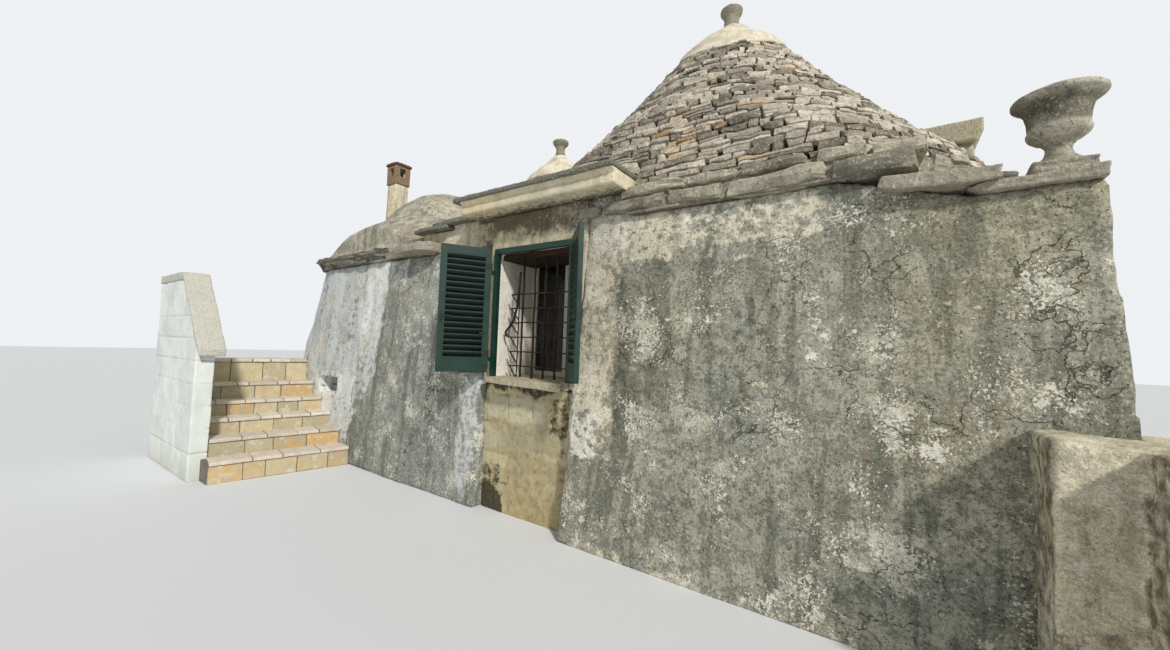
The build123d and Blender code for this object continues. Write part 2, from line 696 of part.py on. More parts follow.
def street_threshold():
    """Stone step in the doorway."""
    return box(GABLE_X - GABLE_THICK, GABLE_X, DOOR_Y0, DOOR_Y1, STREET_Z, STREET_Z + THRESHOLD)


def main_deck():
    """Stone deck round the main cone, on the walls' tops."""
    x1 = east_x(DECK_Z)
    body = box(MIDDLE_X0, x1, ROOM_Y0, north_y(DECK_Z), DECK_Z, WALL_TOP)
    body -= Pos(MAIN_AXIS[0], MAIN_AXIS[1], WALL_TOP) * Cylinder(MAIN_INNER_R, 3 * DECK_THICK)
    body -= gable_space() + door_way() + side_masonry()
    x0 = CORNER_SLAB_X0 - CUT
    return body - box(x0, x1 + CUT, 0.0, CORNER_SLAB_Y1, CORNER_TOP, WALL_TOP + CUT)


def corner_slab_west():
    """Upper eave slab where the wall top falls."""
    outline = [(CORNER_SLAB_X0 + x, CORNER_TOP + z) for x, z in UPPER_SLAB]
    slab = side_xz(outline, UPPER_SLAB_Y0, ROOM_Y0)
    return slab - south_wall() - corner_slab_east() - main_cone_space()


def corner_slab_east():
    """Lower corner slab that carries the pedestal."""
    x0 = CORNER_SLAB_X0
    x1 = CORNER_SLAB_X1
    z0 = CORNER_TOP
    z1 = CORNER_SLAB_TOP
    outline = [(x0, z0 + SLAB_TIP), (x0 + 65, z0), (x1 - 7, z0), (x1, z1), (x0 + 85, z1 - SLAB_FALL)]
    return side_xz(outline, CORNER_SLAB_Y0, CORNER_SLAB_Y1) - main_cone_space()


def main_cone_space():
    """Full outer form of the main cone and its eaves."""
    profile = raised(MAIN_PROFILE, WALL_TOP)
    return turned(MAIN_AXIS, [(0, WALL_TOP)] + profile + [(0, profile[-1][1])]) & above_front()


def radius_at(profile, z):
    """Radius of a (radius, height) profile at a height."""
    for (r0, z0), (r1, z1) in zip(profile, profile[1:]):
        if z <= z1:
            return r0 + (r1 - r0) * max(0.0, z - z0) / (z1 - z0)
    return profile[-1][0]


def coursed(axis, profile, foot):
    """Cone in courses that step back, all within its smooth profile, from a height up to its top."""
    top = profile[-1][1]
    count = round((top - foot) / CONE_COURSE)
    tall = (top - foot) / count
    points = [(0, foot)]
    for k in range(count):
        low = foot + k * tall
        high = low + tall
        r_low = radius_at(profile, low)
        r_high = radius_at(profile, high)
        points.append((r_high + COURSE_LEAN * (r_low - r_high), low))
        points.append((r_high, high))
    return turned(axis, points + [(0, top)])


def cone_hollow(axis, inner_r, z_foot, rise, top_r):
    """Inside of a corbelled roof."""
    low = z_foot - CUT
    high = z_foot + rise
    return turned(axis, [(0, low), (inner_r, low), (inner_r, z_foot), (top_r, high), (0, high)])


def main_roof():
    """Main cone and eaves in one, hollow, cut round the bay and the gable."""
    hollow = cone_hollow(MAIN_AXIS, MAIN_INNER_R, WALL_TOP, MAIN_HOLLOW_RISE, MAIN_INNER_TOP_R)
    body = main_cone_space() - hollow - bay_space() - gable_space() - door_way()
    return body - corner_slab_west() - side_masonry()


def main_cone():
    """Courses of the main cone over its eaves."""
    foot = WALL_TOP + MAIN_EAVE
    return split(main_roof(), foot, True) & coursed(MAIN_AXIS, raised(MAIN_PROFILE, WALL_TOP), foot)


def split(shape, z, upper):
    """The part of a shape above or below a height."""
    z0, z1 = (z, FAR) if upper else (-FAR, z)
    return shape & box(-FAR, FAR, -FAR, FAR, z0, z1)


def cap(axis, profile, z):
    """Plastered cap of a cone."""
    points = raised(profile, z)
    return turned(axis, [(0, z)] + points + [(0, points[-1][1])])


def finial(axis, z, tall, neck, head):
    """Turned stone finial: a waisted stem under a broad flat head."""
    stem = [(neck * r, z + tall * rise) for rise, r in FINIAL_STEM]
    top = [(head * r, z + tall * rise) for rise, r in FINIAL_HEAD]
    return turned(axis, [(0, z)] + stem + top + [(0, z + tall)])


def west_deck():
    """Courses of eave stones over the west block."""
    cx, cy, r = CORNER_RINGS[-1][:3]
    body = None
    for k in range(EAVE_COUNT):
        out = EAVE_OVERHANG * (EAVE_STEP if k == 0 else 1.0)
        z0 = WEST_TOP + k * EAVE_COURSE
        z1 = z0 + EAVE_COURSE
        layer = box(cx, BAY_SHOULDER_X, cy - r - out, mirror_y(cy - r) + out, z0, z1)
        layer += box(cx - r - out, cx + 1, cy, mirror_y(cy), z0, z1)
        for y in (cy, mirror_y(cy)):
            layer += Pos(cx, y, (z0 + z1) / 2) * Cylinder(r + out, EAVE_COURSE)
        body = layer if body is None else body + layer
    tall = 6 * EAVE_COUNT * EAVE_COURSE
    body -= Pos(SECOND_AXIS[0], SECOND_AXIS[1], WEST_TOP) * Cylinder(SECOND_INNER_R, tall)
    body -= Pos(DOME_AXIS[0], DOME_AXIS[1], WEST_TOP) * Cylinder(DOME_INNER_R, tall)
    body -= bracket_stone() + deck_corner() + eave_end_space()
    return body - bay_space() - side_masonry() - main_cone_space()


def eave_end_space():
    """The space in front of the west block's face where it has no eave."""
    return box(EAVE_END_X, FAR, -FAR, west_front_y(WEST_TOP), WEST_TOP, WEST_EAVE_TOP)


def deck_corner():
    """The space over the middle wall that the main deck fills."""
    return box(MIDDLE_X0, FAR, ROOM_Y0, FAR, 0, WALL_TOP)


def bracket_stone():
    """Single stone that sticks out under the roof slabs."""
    outline = [(SIDE_X0 + x, y) for x, y in BRACKET_OUTLINE]
    z0 = WEST_TOP + BRACKET_LIFT
    return plan(outline, z0, z0 + BRACKET_THICK)


def side_masonry():
    """Rubble that fills up to the roof slabs beside the bay."""
    return box(SIDE_X0, BAY_SHOULDER_X, SIDE_Y0, SIDE_Y1, WEST_TOP, SIDE_TOP)


def slab_low():
    """Lower thin roof slab left of the cornice."""
    outline = [(SIDE_X0 + x, y) for x, y in LOW_SLAB_FRONT]
    outline += [(SIDE_X0 + SIDE_SPLIT, SLAB_BACK_Y), (SIDE_X0 + LOW_SLAB_FRONT[0][0], SLAB_BACK_Y)]
    return plan(outline, SIDE_TOP, SIDE_TOP + SIDE_SLAB)


def slab_high():
    """Upper thin roof slab, against the cornice's end."""
    outline = [(SIDE_X0 + x, y) for x, y in HIGH_SLAB_FRONT]
    outline += [(CORNICE_X0, HIGH_SLAB_END_Y), (CORNICE_X0, SLAB_BACK_Y)]
    outline.append((SIDE_X0 + HIGH_SLAB_FRONT[0][0], SLAB_BACK_Y))
    return plan(outline, SIDE_TOP + SIDE_SLAB, SIDE_TOP + 2 * SIDE_SLAB)


def side_step():
    """Rubble under the upper slab, right of the lower one."""
    return box(SIDE_X0 + SIDE_SPLIT, CORNICE_X0, SIDE_Y0, SLAB_BACK_Y, SIDE_TOP, SIDE_TOP + SIDE_SLAB)


def second_profile():
    """Outer profile of the second cone at its height."""
    return raised(SECOND_PROFILE, WEST_TOP)


def second_cone_space():
    """Outer form of the second cone."""
    profile = second_profile()
    return turned(SECOND_AXIS, [(0, profile[0][1])] + profile + [(0, profile[-1][1])])


def second_cone():
    """Second cone, hollow, cut round the main cone."""
    hollow = cone_hollow(SECOND_AXIS, SECOND_INNER_R, WEST_TOP, SECOND_HOLLOW_RISE, SECOND_INNER_TOP_R)
    body = second_cone_space() & coursed(SECOND_AXIS, second_profile(), second_profile()[0][1])
    body -= hollow + main_cone_space() + deck_corner()
    return body - west_deck() - bay_space() - main_deck() - side_masonry()


def low_dome():
    """Low plastered dome, hollow, cut round the second cone and the chimney."""
    body = turned(DOME_AXIS, [(0, WEST_EAVE_TOP)] + raised(DOME_PROFILE, WEST_EAVE_TOP))
    hollow = cone_hollow(DOME_AXIS, DOME_INNER_R, WEST_EAVE_TOP, DOME_HOLLOW_RISE, DOME_INNER_TOP_R)
    front = box(-FAR, FAR, -FAR, west_front_y(WEST_TOP) - DOME_LEDGE, 0, FAR)
    front += box(EAVE_END_X, FAR, -FAR, west_front_y(WEST_TOP), 0, FAR)
    body -= chimney_shaft() + bracket_stone() + side_masonry()
    return body - hollow - second_cone_space() - front - main_cone_space() - slab_low()


def square_post(x, y, half, z0, z1):
    """Upright square block about a place."""
    return box(x - half, x + half, y - half, y + half, z0, z1)


def chimney_head_z():
    """Top of the chimney's plastered shaft."""
    return WEST_EAVE_TOP + CHIMNEY_TALL


def chimney_shaft():
    """Square shaft that stands on the deck at the dome's west side."""
    return square_post(CHIMNEY_X, CHIMNEY_Y, CHIMNEY_SIDE / 2, WEST_EAVE_TOP, chimney_head_z())


def chimney_head():
    """Brick head with an opening in each side."""
    h = CHIMNEY_SIDE / 2 + CHIMNEY_HEAD_OUT
    z0 = chimney_head_z()
    z1 = z0 + CHIMNEY_HEAD
    low = z0 + CHIMNEY_SLOT_UP
    high = z1 - CHIMNEY_LINTEL
    slot = CHIMNEY_SLOT / 2
    body = square_post(CHIMNEY_X, CHIMNEY_Y, h, z0, z1)
    body -= square_post(CHIMNEY_X, CHIMNEY_Y, h - CHIMNEY_BRICK, low, high)
    for dx, dy in ((h + CUT, slot), (slot, h + CUT)):
        body -= box(CHIMNEY_X - dx, CHIMNEY_X + dx, CHIMNEY_Y - dy, CHIMNEY_Y + dy, low, high)
    return body


def chimney_cap():
    """Thin slab on the brick head."""
    z0 = chimney_head_z() + CHIMNEY_HEAD
    return square_post(CHIMNEY_X, CHIMNEY_Y, CHIMNEY_SIDE / 2 + CHIMNEY_CAP_OUT, z0, z0 + CHIMNEY_CAP)


def urn_pedestal():
    """Square stone under the urn."""
    z1 = CORNER_SLAB_TOP + PEDESTAL_TALL
    return square_post(URN_X, URN_Y, PEDESTAL_SIDE / 2, CORNER_TOP, z1) - corner_slab_east()


def urn():
    """Stone urn: stem, round belly with a bead, waisted bowl and broad rim, hollow inside."""
    z = CORNER_SLAB_TOP + PEDESTAL_TALL
    points = [(URN_RIM_R * r, z + URN_TALL * rise) for r, rise in URN_OUTSIDE + URN_BOWL]
    return turned((URN_X, URN_Y), [(0, z)] + points)


def nosing_skew():
    """How much further back a nosing lies at the parapet than at the wall."""
    return (STEP_WALL_Y - STAIR_Y) * STEP_SKEW


def stair_end():
    """Far end of the landing and the parapet."""
    return STEP_X - (STEP_COUNT - 1) * STEP_GOING - nosing_skew() - LANDING


def step_top(count):
    """Height of the stair after a number of steps."""
    return STREET_Z if count == STEP_COUNT else sum(STEP_RISES[:count])


def step(k):
    """One step of the stair: a masonry block under its tread, from nosing to the landing's end."""
    wall = STEP_X - k * STEP_GOING
    outer = wall - nosing_skew()
    end = stair_end()
    z0 = step_top(k)
    z1 = step_top(k + 1)
    bed = z1 - TREAD_THICK
    block = plan([(end, 0), (end, STAIR_Y), (outer, STAIR_Y), (wall, STEP_WALL_Y)], z0, bed)
    tread = plan([(end, 0), (end, STAIR_Y), (outer + NOSING, STAIR_Y), (wall + NOSING, STEP_WALL_Y)], bed, z1)
    if k == 0:
        back = parapet_line()[0][0]
        side = STAIR_Y - STEP_LAP
        tip = outer - STEP_LAP * STEP_SKEW
        block += plan([(back, STAIR_Y), (back, side), (tip, side), (outer, STAIR_Y)], z0, bed)
        tread += plan([(back, STAIR_Y), (back, side), (tip + NOSING, side), (outer + NOSING, STAIR_Y)], bed, z1)
    return block + tread - left_front_wall() - corner_form(False)


def parapet_line():
    """Top line of the parapet from its front end to its far end: (x, z)."""
    front = STEP_X - PARAPET_SET_BACK
    low = STREET_Z + PARAPET_LOW
    high = STREET_Z + PARAPET_HIGH
    return [(front, low), (front - PARAPET_SLOPED, high), (stair_end(), high)]


def stair_parapet():
    """Block wall on the stair's outer side, with a sloped then level top."""
    line = parapet_line()
    outline = [(line[0][0], 0)] + line + [(line[-1][0], 0)]
    return side_xz(outline, STAIR_Y - PARAPET_THICK, STAIR_Y)


def parapet_coping():
    """Rough stone coping on the parapet: a sloped slab and a level one."""
    (front, low), (bend, high), (end, _) = parapet_line()
    slope = (high - low) / PARAPET_SLOPED
    x0 = front + COPING_FRONT
    z0 = low - slope * COPING_FRONT
    top = high + COPING_THICK
    outline = [
        (x0, z0), (bend, high), (end, high), (end, top), (bend - 0.3 * COPING_THICK, top),
        (x0, z0 + COPING_THICK),
    ]
    return side_xz(outline, STAIR_Y - PARAPET_THICK - COPING_LIP, STAIR_Y + COPING_OUT)


def corner_pier():
    """Stub of the street wall that meets the south-east corner, in two steps."""
    x0 = EAST_X - PIER_LAP
    x1 = x0 + PIER_LONG
    body = box(x0, x1, PIER_Y0, PIER_Y1, 0.0, STREET_Z)
    body += box(x0 + PIER_STEP, x1, PIER_STEP_Y, PIER_Y0, 0.0, STREET_Z)
    return body - south_wall()


def build():
    """Every piece under its node name."""
    eave_z = WALL_TOP + MAIN_EAVE
    cone_z = WALL_TOP + MAIN_PROFILE[-1][1]
    cap_z = cone_z + MAIN_CAP[-1][1]
    second_z = WEST_TOP + SECOND_PROFILE[-1][1]
    second_cap_z = second_z + SECOND_CAP[-1][1]
    parts = {
        "south_wall": south_wall(),
        "bay_infill_wall": bay_infill_wall(),
        "bay_upper_wall": bay_upper_wall(),
        "window_sill": window_sill(),
        "soffit_boards": soffit_boards(),
        "shutter_frame": shutter_frame(),
        "casement_frame": casement_frame(),
        "casement_glass": casement_glass(),
        "window_grille": window_grille(),
        "shutter_left": shutter("left"),
        "shutter_right": shutter("right"),
        "bay_cornice_band": bay_cornice_band(),
        "bay_cornice_slab": bay_cornice_slab(),
        "left_front_wall": left_front_wall(),
        "south_west_corner_wall": corner_wall(False),
        "west_wall": west_wall(),
        "north_west_corner_wall": corner_wall(True),
        "west_north_wall": west_north_wall(),
        "main_north_wall": main_north_wall(),
        "middle_wall": middle_wall(),
        "east_wall_south": east_wall(ROOM_Y0, GABLE_Y0, 0.0, DECK_Z),
        "east_wall_north": east_wall(GABLE_Y1, ROOM_Y1, 0.0, DECK_Z),
        "east_wall_foot": east_wall(GABLE_Y0, GABLE_Y1, 0.0, STREET_Z),
        "gable_wall": gable_wall(),
        "gable_cornice": gable_cornice(),
        "street_door_frame": street_door_frame(),
        "street_door": street_door(),
        "street_threshold": street_threshold(),
        "main_roof_deck": main_deck(),
        "main_eave_course": split(main_roof(), eave_z, False),
        "main_cone": main_cone(),
        "main_cap": cap(MAIN_AXIS, MAIN_CAP, cone_z),
        "main_finial": finial(MAIN_AXIS, cap_z, FINIAL_TALL, FINIAL_NECK, FINIAL_R),
        "west_roof_deck": west_deck(),
        "second_cone": second_cone(),
        "second_cap": cap(SECOND_AXIS, SECOND_CAP, second_z),
        "second_finial": finial(
            SECOND_AXIS, second_cap_z, SECOND_FINIAL_TALL, SECOND_FINIAL_NECK, SECOND_FINIAL_R),
        "low_dome": low_dome(),
        "bracket_stone": bracket_stone(),
        "side_masonry": side_masonry() + side_step() - bracket_stone(),
        "roof_slab_low": slab_low(),
        "roof_slab_high": slab_high(),
        "chimney_shaft": chimney_shaft(),
        "chimney_head": chimney_head(),
        "chimney_cap": chimney_cap(),
        "corner_slab_west": corner_slab_west(),
        "corner_slab_east": corner_slab_east() - urn_pedestal(),
        "urn_pedestal": urn_pedestal(),
        "urn": urn(),
        "stair_parapet": stair_parapet(),
        "parapet_coping": parapet_coping(),
        "corner_pier": corner_pier(),
    }
    for k in range(STEP_COUNT):
        parts[f"stair_step_{k + 1}"] = step(k)
    return parts


def main():
    """Build, shift to the bottom centre and write one file a piece."""
    parts = build()
    whole = Compound([p for p in parts.values()]).bounding_box()
    shift = (-(whole.min.X + whole.max.X) / 2, -(whole.min.Y + whole.max.Y) / 2, -whole.min.Z)
    print("shift from the plan frame, mm:", [round(v, 3) for v in shift])
    os.makedirs("parts", exist_ok=True)
    for name, shape in parts.items():
        export_step(Pos(*shift) * shape, f"parts/{name}.step")


if __name__ == "__main__":
    main()
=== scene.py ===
import itertools
import math
import random

import bmesh
import bpy
import numpy as np
from mathutils import Matrix, Vector
from mathutils.bvhtree import BVHTree


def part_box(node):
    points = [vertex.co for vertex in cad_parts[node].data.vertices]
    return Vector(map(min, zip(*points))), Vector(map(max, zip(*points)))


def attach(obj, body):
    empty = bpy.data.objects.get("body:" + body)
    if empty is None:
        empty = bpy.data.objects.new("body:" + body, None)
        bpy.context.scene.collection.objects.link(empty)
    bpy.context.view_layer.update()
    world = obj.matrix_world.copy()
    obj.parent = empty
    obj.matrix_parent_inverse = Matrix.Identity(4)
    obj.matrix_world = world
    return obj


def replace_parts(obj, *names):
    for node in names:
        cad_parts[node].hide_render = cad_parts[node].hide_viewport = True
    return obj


# Looks of a trullo house. Metres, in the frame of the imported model: +X east along the
# south front, +Y north, +Z up from the yard. Places on the south front are given in its
# plan frame, whose origin is the foot of the south wall's left arris.

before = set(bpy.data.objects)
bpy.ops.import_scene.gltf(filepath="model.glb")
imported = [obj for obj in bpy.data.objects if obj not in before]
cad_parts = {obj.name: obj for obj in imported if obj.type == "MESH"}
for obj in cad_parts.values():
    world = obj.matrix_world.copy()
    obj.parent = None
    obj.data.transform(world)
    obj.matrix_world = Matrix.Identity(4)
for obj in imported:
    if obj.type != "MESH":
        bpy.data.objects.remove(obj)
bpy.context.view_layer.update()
SOUTH_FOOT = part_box("south_wall")[0]
HOUSE = "house"
ORIGIN = np.array([SOUTH_FOOT.x, SOUTH_FOOT.y, 0.0])

# Camera of the photograph, in the plan frame
EYE = (2.288, -2.946, 1.6)
YAW = -0.611
PITCH = 0.052
ROLL = 0.035
FOCAL_PIXELS = 440.63
PHOTO_WIDE = 1170.0
SENSOR = 36.0

# Light
SUN_FROM = (0.676, -0.413, 0.61)
SUN_STRENGTH = 2.75
SUN_ANGLE = math.radians(5.0)
SKY_STRENGTH = 0.42
SUN_COLOUR = (1.0, 0.965, 0.91)
SKY_COLOUR = (0.93, 0.97, 1.0)
BACKDROP = (0.86, 0.88, 0.9)
FLOOR = (0.72, 0.735, 0.75)


def spot(x, y, z):
    """A plan place as a point of the frame."""
    return Vector((x + SOUTH_FOOT.x, y + SOUTH_FOOT.y, z))


def tone(r, g, b):
    """A colour written as the eye sees it, 0 to 255, as linear light."""
    return tuple(((c / 255 + 0.055) / 1.055) ** 2.4 if c > 10 else c / 3294 for c in (r, g, b)) + (1.0,)


# Sockets of a colour mix
MIX_SHARE = 0
MIX_A = 6
MIX_B = 7
MIX_OUT = 2


class Look:
    """A procedural material under construction, whose paint is laid coat over coat. Colours are given as the
    eye sees them."""

    def __init__(self, name, first, roughness=0.9, specular=0.25, metallic=0.0):
        self.material = bpy.data.materials.new(name)
        self.material.use_nodes = True
        self.tree = self.material.node_tree
        self.shader = self.tree.nodes["Principled BSDF"]
        self.set(Roughness=roughness, Specular_IOR_Level=specular, Metallic=metallic)
        self.place = self.node("TexCoord").outputs["Object"]
        self.paint = tone(*first)

    def feed(self, socket, value):
        """Link an output to a socket, or write a plain value in it."""
        if isinstance(value, bpy.types.NodeSocket):
            self.tree.links.new(value, socket)
        else:
            socket.default_value = value

    def set(self, **values):
        """Give the shader's sockets their values."""
        for key, value in values.items():
            self.feed(self.shader.inputs[key.replace("_", " ")], value)

    def node(self, kind, inputs=None, **settings):
        """A new node with its settings and inputs."""
        node = self.tree.nodes.new("ShaderNode" + kind)
        for key, value in settings.items():
            setattr(node, key, value)
        for key, value in (inputs or {}).items():
            self.feed(node.inputs[key], value)
        return node

    def noise(self, scale, detail=3.0, rough=0.55, stretch=(1, 1, 1), distortion=0.0, offset=0.0):
        """Cloudy noise from 0 to 1, stretched along the axes."""
        aside = (offset, offset * 0.7, offset * 1.3)
        place = self.node("Mapping", {"Vector": self.place, "Scale": stretch, "Location": aside}).outputs["Vector"]
        values = {"Vector": place, "Scale": scale, "Detail": detail, "Roughness": rough, "Distortion": distortion}
        return self.node("TexNoise", values).outputs["Fac"]

    def web(self, scale, wander):
        """Distance to the nearest edge of a web of wandering cracks."""
        noise = self.node("TexNoise", {"Vector": self.place, "Scale": 7.0, "Detail": 4.0})
        values = {0: noise.outputs["Color"], 1: (wander, wander, wander), 2: self.place}
        place = self.node("VectorMath", values, operation="MULTIPLY_ADD").outputs[0]
        cells = self.node("TexVoronoi", {"Vector": place, "Scale": scale}, feature="DISTANCE_TO_EDGE")
        return cells.outputs["Distance"]

    def math(self, kind, a, b):
        """One sum of two values."""
        return self.node("Math", {0: a, 1: b}, operation=kind).outputs[0]

    def sway(self, value, noise, spread):
        """A value moved up and down by noise."""
        return self.math("ADD", value, self.math("MULTIPLY", self.math("SUBTRACT", noise, 0.5), spread))

    def band(self, value, low, high, out_low=0.0, out_high=1.0):
        """Smooth step from low to high."""
        values = {"Value": value, "From Min": low, "From Max": high, "To Min": out_low, "To Max": out_high}
        return self.node("MapRange", values, interpolation_type="SMOOTHSTEP").outputs["Result"]

    def mark(self, name):
        """A value that the mesh carries at its points."""
        return self.node("Attribute", attribute_name=name).outputs["Fac"]

    def upward(self, vector):
        """The Z part of a vector."""
        return self.node("SeparateXYZ", {0: vector}).outputs["Z"]

    def cover(self, share, colour):
        """Turn the paint towards a colour by a share."""
        values = {MIX_SHARE: share, MIX_A: self.paint, MIX_B: tone(*colour)}
        self.paint = self.node("Mix", values, data_type="RGBA").outputs[MIX_OUT]

    def coat(self, colour, value, low, high, share=1.0, before=0.0):
        """Cover the paint by one share where a value is over high, and by another where it is under low."""
        self.cover(self.band(value, low, high, before, share), colour)

    def stain(self, name, noise, spread, low, high, share, colour):
        """A coat where the mesh is marked, frayed by noise."""
        self.coat(colour, self.sway(self.mark(name), noise, spread), low, high, share)

    def finish(self, relief=None, deep=0.0, strength=1.0, grain=0.16, fine=160.0):
        """The material: paint with fine dark and light grain, and a relief deep metres from its lowest to its
        highest."""
        if grain > 0.0:
            speckle = self.band(self.noise(fine, 2.0, 0.6), 0.3, 0.7, 1.0 - grain, 1.0 + grain)
            self.paint = self.node("VectorMath", {0: self.paint, "Scale": speckle}, operation="SCALE").outputs[0]
        self.set(Base_Color=self.paint)
        if relief is not None:
            bump = self.node("Bump", {"Height": relief, "Distance": deep, "Strength": strength})
            self.set(Normal=bump.outputs["Normal"])
        return self.material


def tinted(colour, tint):
    """A colour times a tint."""
    return tuple(c * t for c, t in zip(colour, tint))


def plaster_look(name, base, light, dark, wash=(216, 206, 180), white=(240, 236, 224), flakes=0.6, mottling=0.55,
                 streaks=0.6, speck=0.5, cracks=0.0, spotting=1.0):
    """Old lime plaster: mottled, streaked by rain, specked with lichen. Reads the marks pale, white, warm,
    dark and crack."""
    look = Look(name, base, roughness=0.93)
    clouds = look.noise(2.3, 5.0, 0.6)
    broad = look.noise(0.8, 3.0, 0.5, offset=29.0)
    mottle = look.noise(15.0, 6.0, 0.68, offset=3.1)
    fine = look.noise(52.0, 4.0, 0.65, offset=13.0)
    run = look.noise(3.4, 4.0, 0.6, stretch=(1.8, 1.8, 0.2), distortion=0.8, offset=7.7)
    groups = look.noise(3.2, 3.0, 0.5, offset=5.0)
    look.coat(light, clouds, 0.38, 0.62)
    look.coat(tinted(base, (1.1, 1.04, 0.9)), broad, 0.5, 0.64, 0.4)
    look.coat(tinted(base, (0.94, 0.99, 1.03)), broad, 0.36, 0.5, 0.0, 0.35)
    look.coat(dark, mottle, 0.46, 0.58, mottling)
    look.coat(tinted(dark, (0.78,) * 3), fine, 0.52, 0.64, 0.45 * spotting)
    look.coat(tinted(light, (1.16,) * 3), fine, 0.36, 0.46, 0.0, 0.4 * spotting)
    wet = look.math("MULTIPLY", look.band(run, 0.46, 0.62), streaks)
    look.cover(wet, dark)
    look.stain("dark", mottle, 1.5, 0.35, 0.85, 0.85, tinted(dark, (0.72,) * 3))
    look.stain("warm", mottle, 1.6, 0.35, 0.8, 0.85, (180, 161, 130))
    look.stain("pale", mottle, 1.9, 0.36, 0.66, 0.95, wash)
    look.stain("white", mottle, 2.0, 0.4, 0.7, 0.95, white)
    look.cover(look.math("MULTIPLY", wet, look.band(fine, 0.4, 0.6, 0.1, 0.75)), dark)
    for scale, level, offset in ((24.0, 0.66, 11.0), (66.0, 0.63, 17.0)):
        spots = look.sway(look.noise(scale, 3.0, 0.6, offset=offset), groups, 0.75)
        look.coat((224, 221, 206), spots, level, level + 0.05, speck)
    flake = look.sway(look.noise(9.0, 5.0, 0.7, offset=23.0), groups, 0.75)
    look.coat((196, 192, 172), flake, 0.62, 0.68, flakes * speck)
    pits = look.band(look.noise(64.0, 2.0, 0.5, offset=19.0), 0.62, 0.7, 0.0, 0.6 * spotting)
    look.cover(pits, (62, 60, 50))
    relief = look.math("ADD", mottle, look.math("MULTIPLY", fine, 0.45))
    relief = look.math("ADD", relief, look.math("MULTIPLY", pits, -0.6))
    if cracks > 0.0:
        near = look.sway(look.mark("crack"), clouds, 0.8)
        edge = look.band(look.web(3.2, 0.3), 0.004, 0.014, 1.0, 0.0)
        split = look.math("MULTIPLY", edge, look.band(near, 0.2, 0.5))
        look.cover(look.math("MULTIPLY", split, cracks), (50, 47, 40))
        relief = look.math("SUBTRACT", relief, split)
    return look.finish(relief, 0.014, 0.9, grain=0.22)


def stone_look(name, dark, base, light, rust=0.0, speck=0.35, scale=1.0):
    """Weathered limestone. Reads the marks shade and rust."""
    look = Look(name, dark, roughness=0.92)
    clouds = look.noise(7.0 * scale, 5.0, 0.65)
    crags = look.noise(38.0 * scale, 4.0, 0.65, offset=4.0)
    look.coat(light, look.mark("shade"), 0.15, 0.85)
    look.coat(base, clouds, 0.38, 0.62, 0.75, 0.15)
    look.coat(dark, crags, 0.5, 0.66, 0.6)
    if rust > 0.0:
        stain = look.sway(look.mark("rust"), crags, 1.2)
        look.coat((184, 150, 98), stain, 0.45, 0.85, rust)
        deep = look.math("MULTIPLY", look.band(stain, 0.8, 1.1), look.band(clouds, 0.5, 0.6, 0.0, 0.8))
        look.cover(deep, (140, 88, 50))
    look.coat((214, 210, 196), look.noise(60.0 * scale, 2.0, 0.6, offset=9.0), 0.58, 0.66, speck)
    return look.finish(look.math("ADD", crags, look.math("MULTIPLY", clouds, 0.7)), 0.014 / scale, 0.9)


def tufo_look(name):
    """Porous blocks: cream above, brown below, with smeared mortar, dark blocks and painted shade. Reads the marks
    shade, joint, white, warm, pale, and the mark of dark blocks and painted shade."""
    look = Look(name, (184, 173, 136), roughness=0.95)
    mottle = look.noise(16.0, 5.0, 0.65, offset=6.0)
    pores = look.noise(70.0, 3.0, 0.7, offset=2.0)
    look.coat((214, 202, 162), look.mark("shade"), 0.0, 1.0)
    look.coat((178, 168, 138), look.noise(5.0, 5.0, 0.6), 0.4, 0.66, 0.6)
    look.stain("white", mottle, 1.0, 0.3, 0.8, 0.8, (204, 198, 172))
    look.stain("warm", mottle, 1.9, 0.3, 0.9, 0.8, (178, 158, 114))
    look.coat((112, 100, 74), look.mark("joint"), 0.2, 0.8, 0.6)
    look.stain("pale", mottle, 1.2, 0.35, 0.8, 0.85, (174, 164, 136))
    look.coat((118, 106, 80), mottle, 0.52, 0.68, 0.45)
    # Dark blocks, and painted shade under the sill and beside the south wall
    look.stain("dark_and_shade", mottle, 1.5, 0.35, 0.8, 0.92, (58, 54, 40))
    look.coat((98, 86, 60), pores, 0.6, 0.7, 0.5)
    return look.finish(look.math("ADD", pores, mottle), 0.01, 0.8)


def limewash_look(name):
    """Cap of lime plaster, cream in the sun, with fine stains."""
    look = Look(name, (232, 224, 204))
    clouds = look.noise(6.0, 5.0, 0.6)
    look.coat((206, 196, 172), clouds, 0.35, 0.65)
    look.coat((160, 152, 130), look.noise(7.0, 3.0, 0.6, stretch=(1.5, 1.5, 0.3), offset=2.0), 0.52, 0.7, 0.45)
    look.coat((122, 116, 100), look.noise(40.0, 3.0, 0.6), 0.6, 0.7, 0.45)
    return look.finish(look.math("ADD", clouds, look.noise(48.0, 3.0, 0.6)), 0.008, 0.7, grain=0.08)


def paint_look(name, base, faded, roughness=0.42, under=None):
    """Satin paint with faded and chipped places, and painted shade on faces that look down."""
    look = Look(name, base, roughness=roughness, specular=0.45)
    clouds = look.noise(9.0, 4.0, 0.6)
    lines = look.noise(60.0, 3.0, 0.6, offset=1.0)
    look.coat(faded, clouds, 0.4, 0.65, 0.45)
    look.coat((120, 116, 104), look.noise(85.0, 3.0, 0.7, offset=6.0), 0.68, 0.74, 0.6)
    look.coat(faded, lines, 0.5, 0.75, 0.25)
    # Painted shade: faces that look down turn towards the under colour
    if under is not None:
        look.coat(under, look.upward(look.node("TexCoord").outputs["Normal"]), -0.45, -0.2, 0.0, 0.92)
    look.set(Roughness=look.band(clouds, 0.3, 0.7, roughness - 0.08, roughness + 0.16))
    return look.finish(lines, 0.0015, 0.6, grain=0.0)


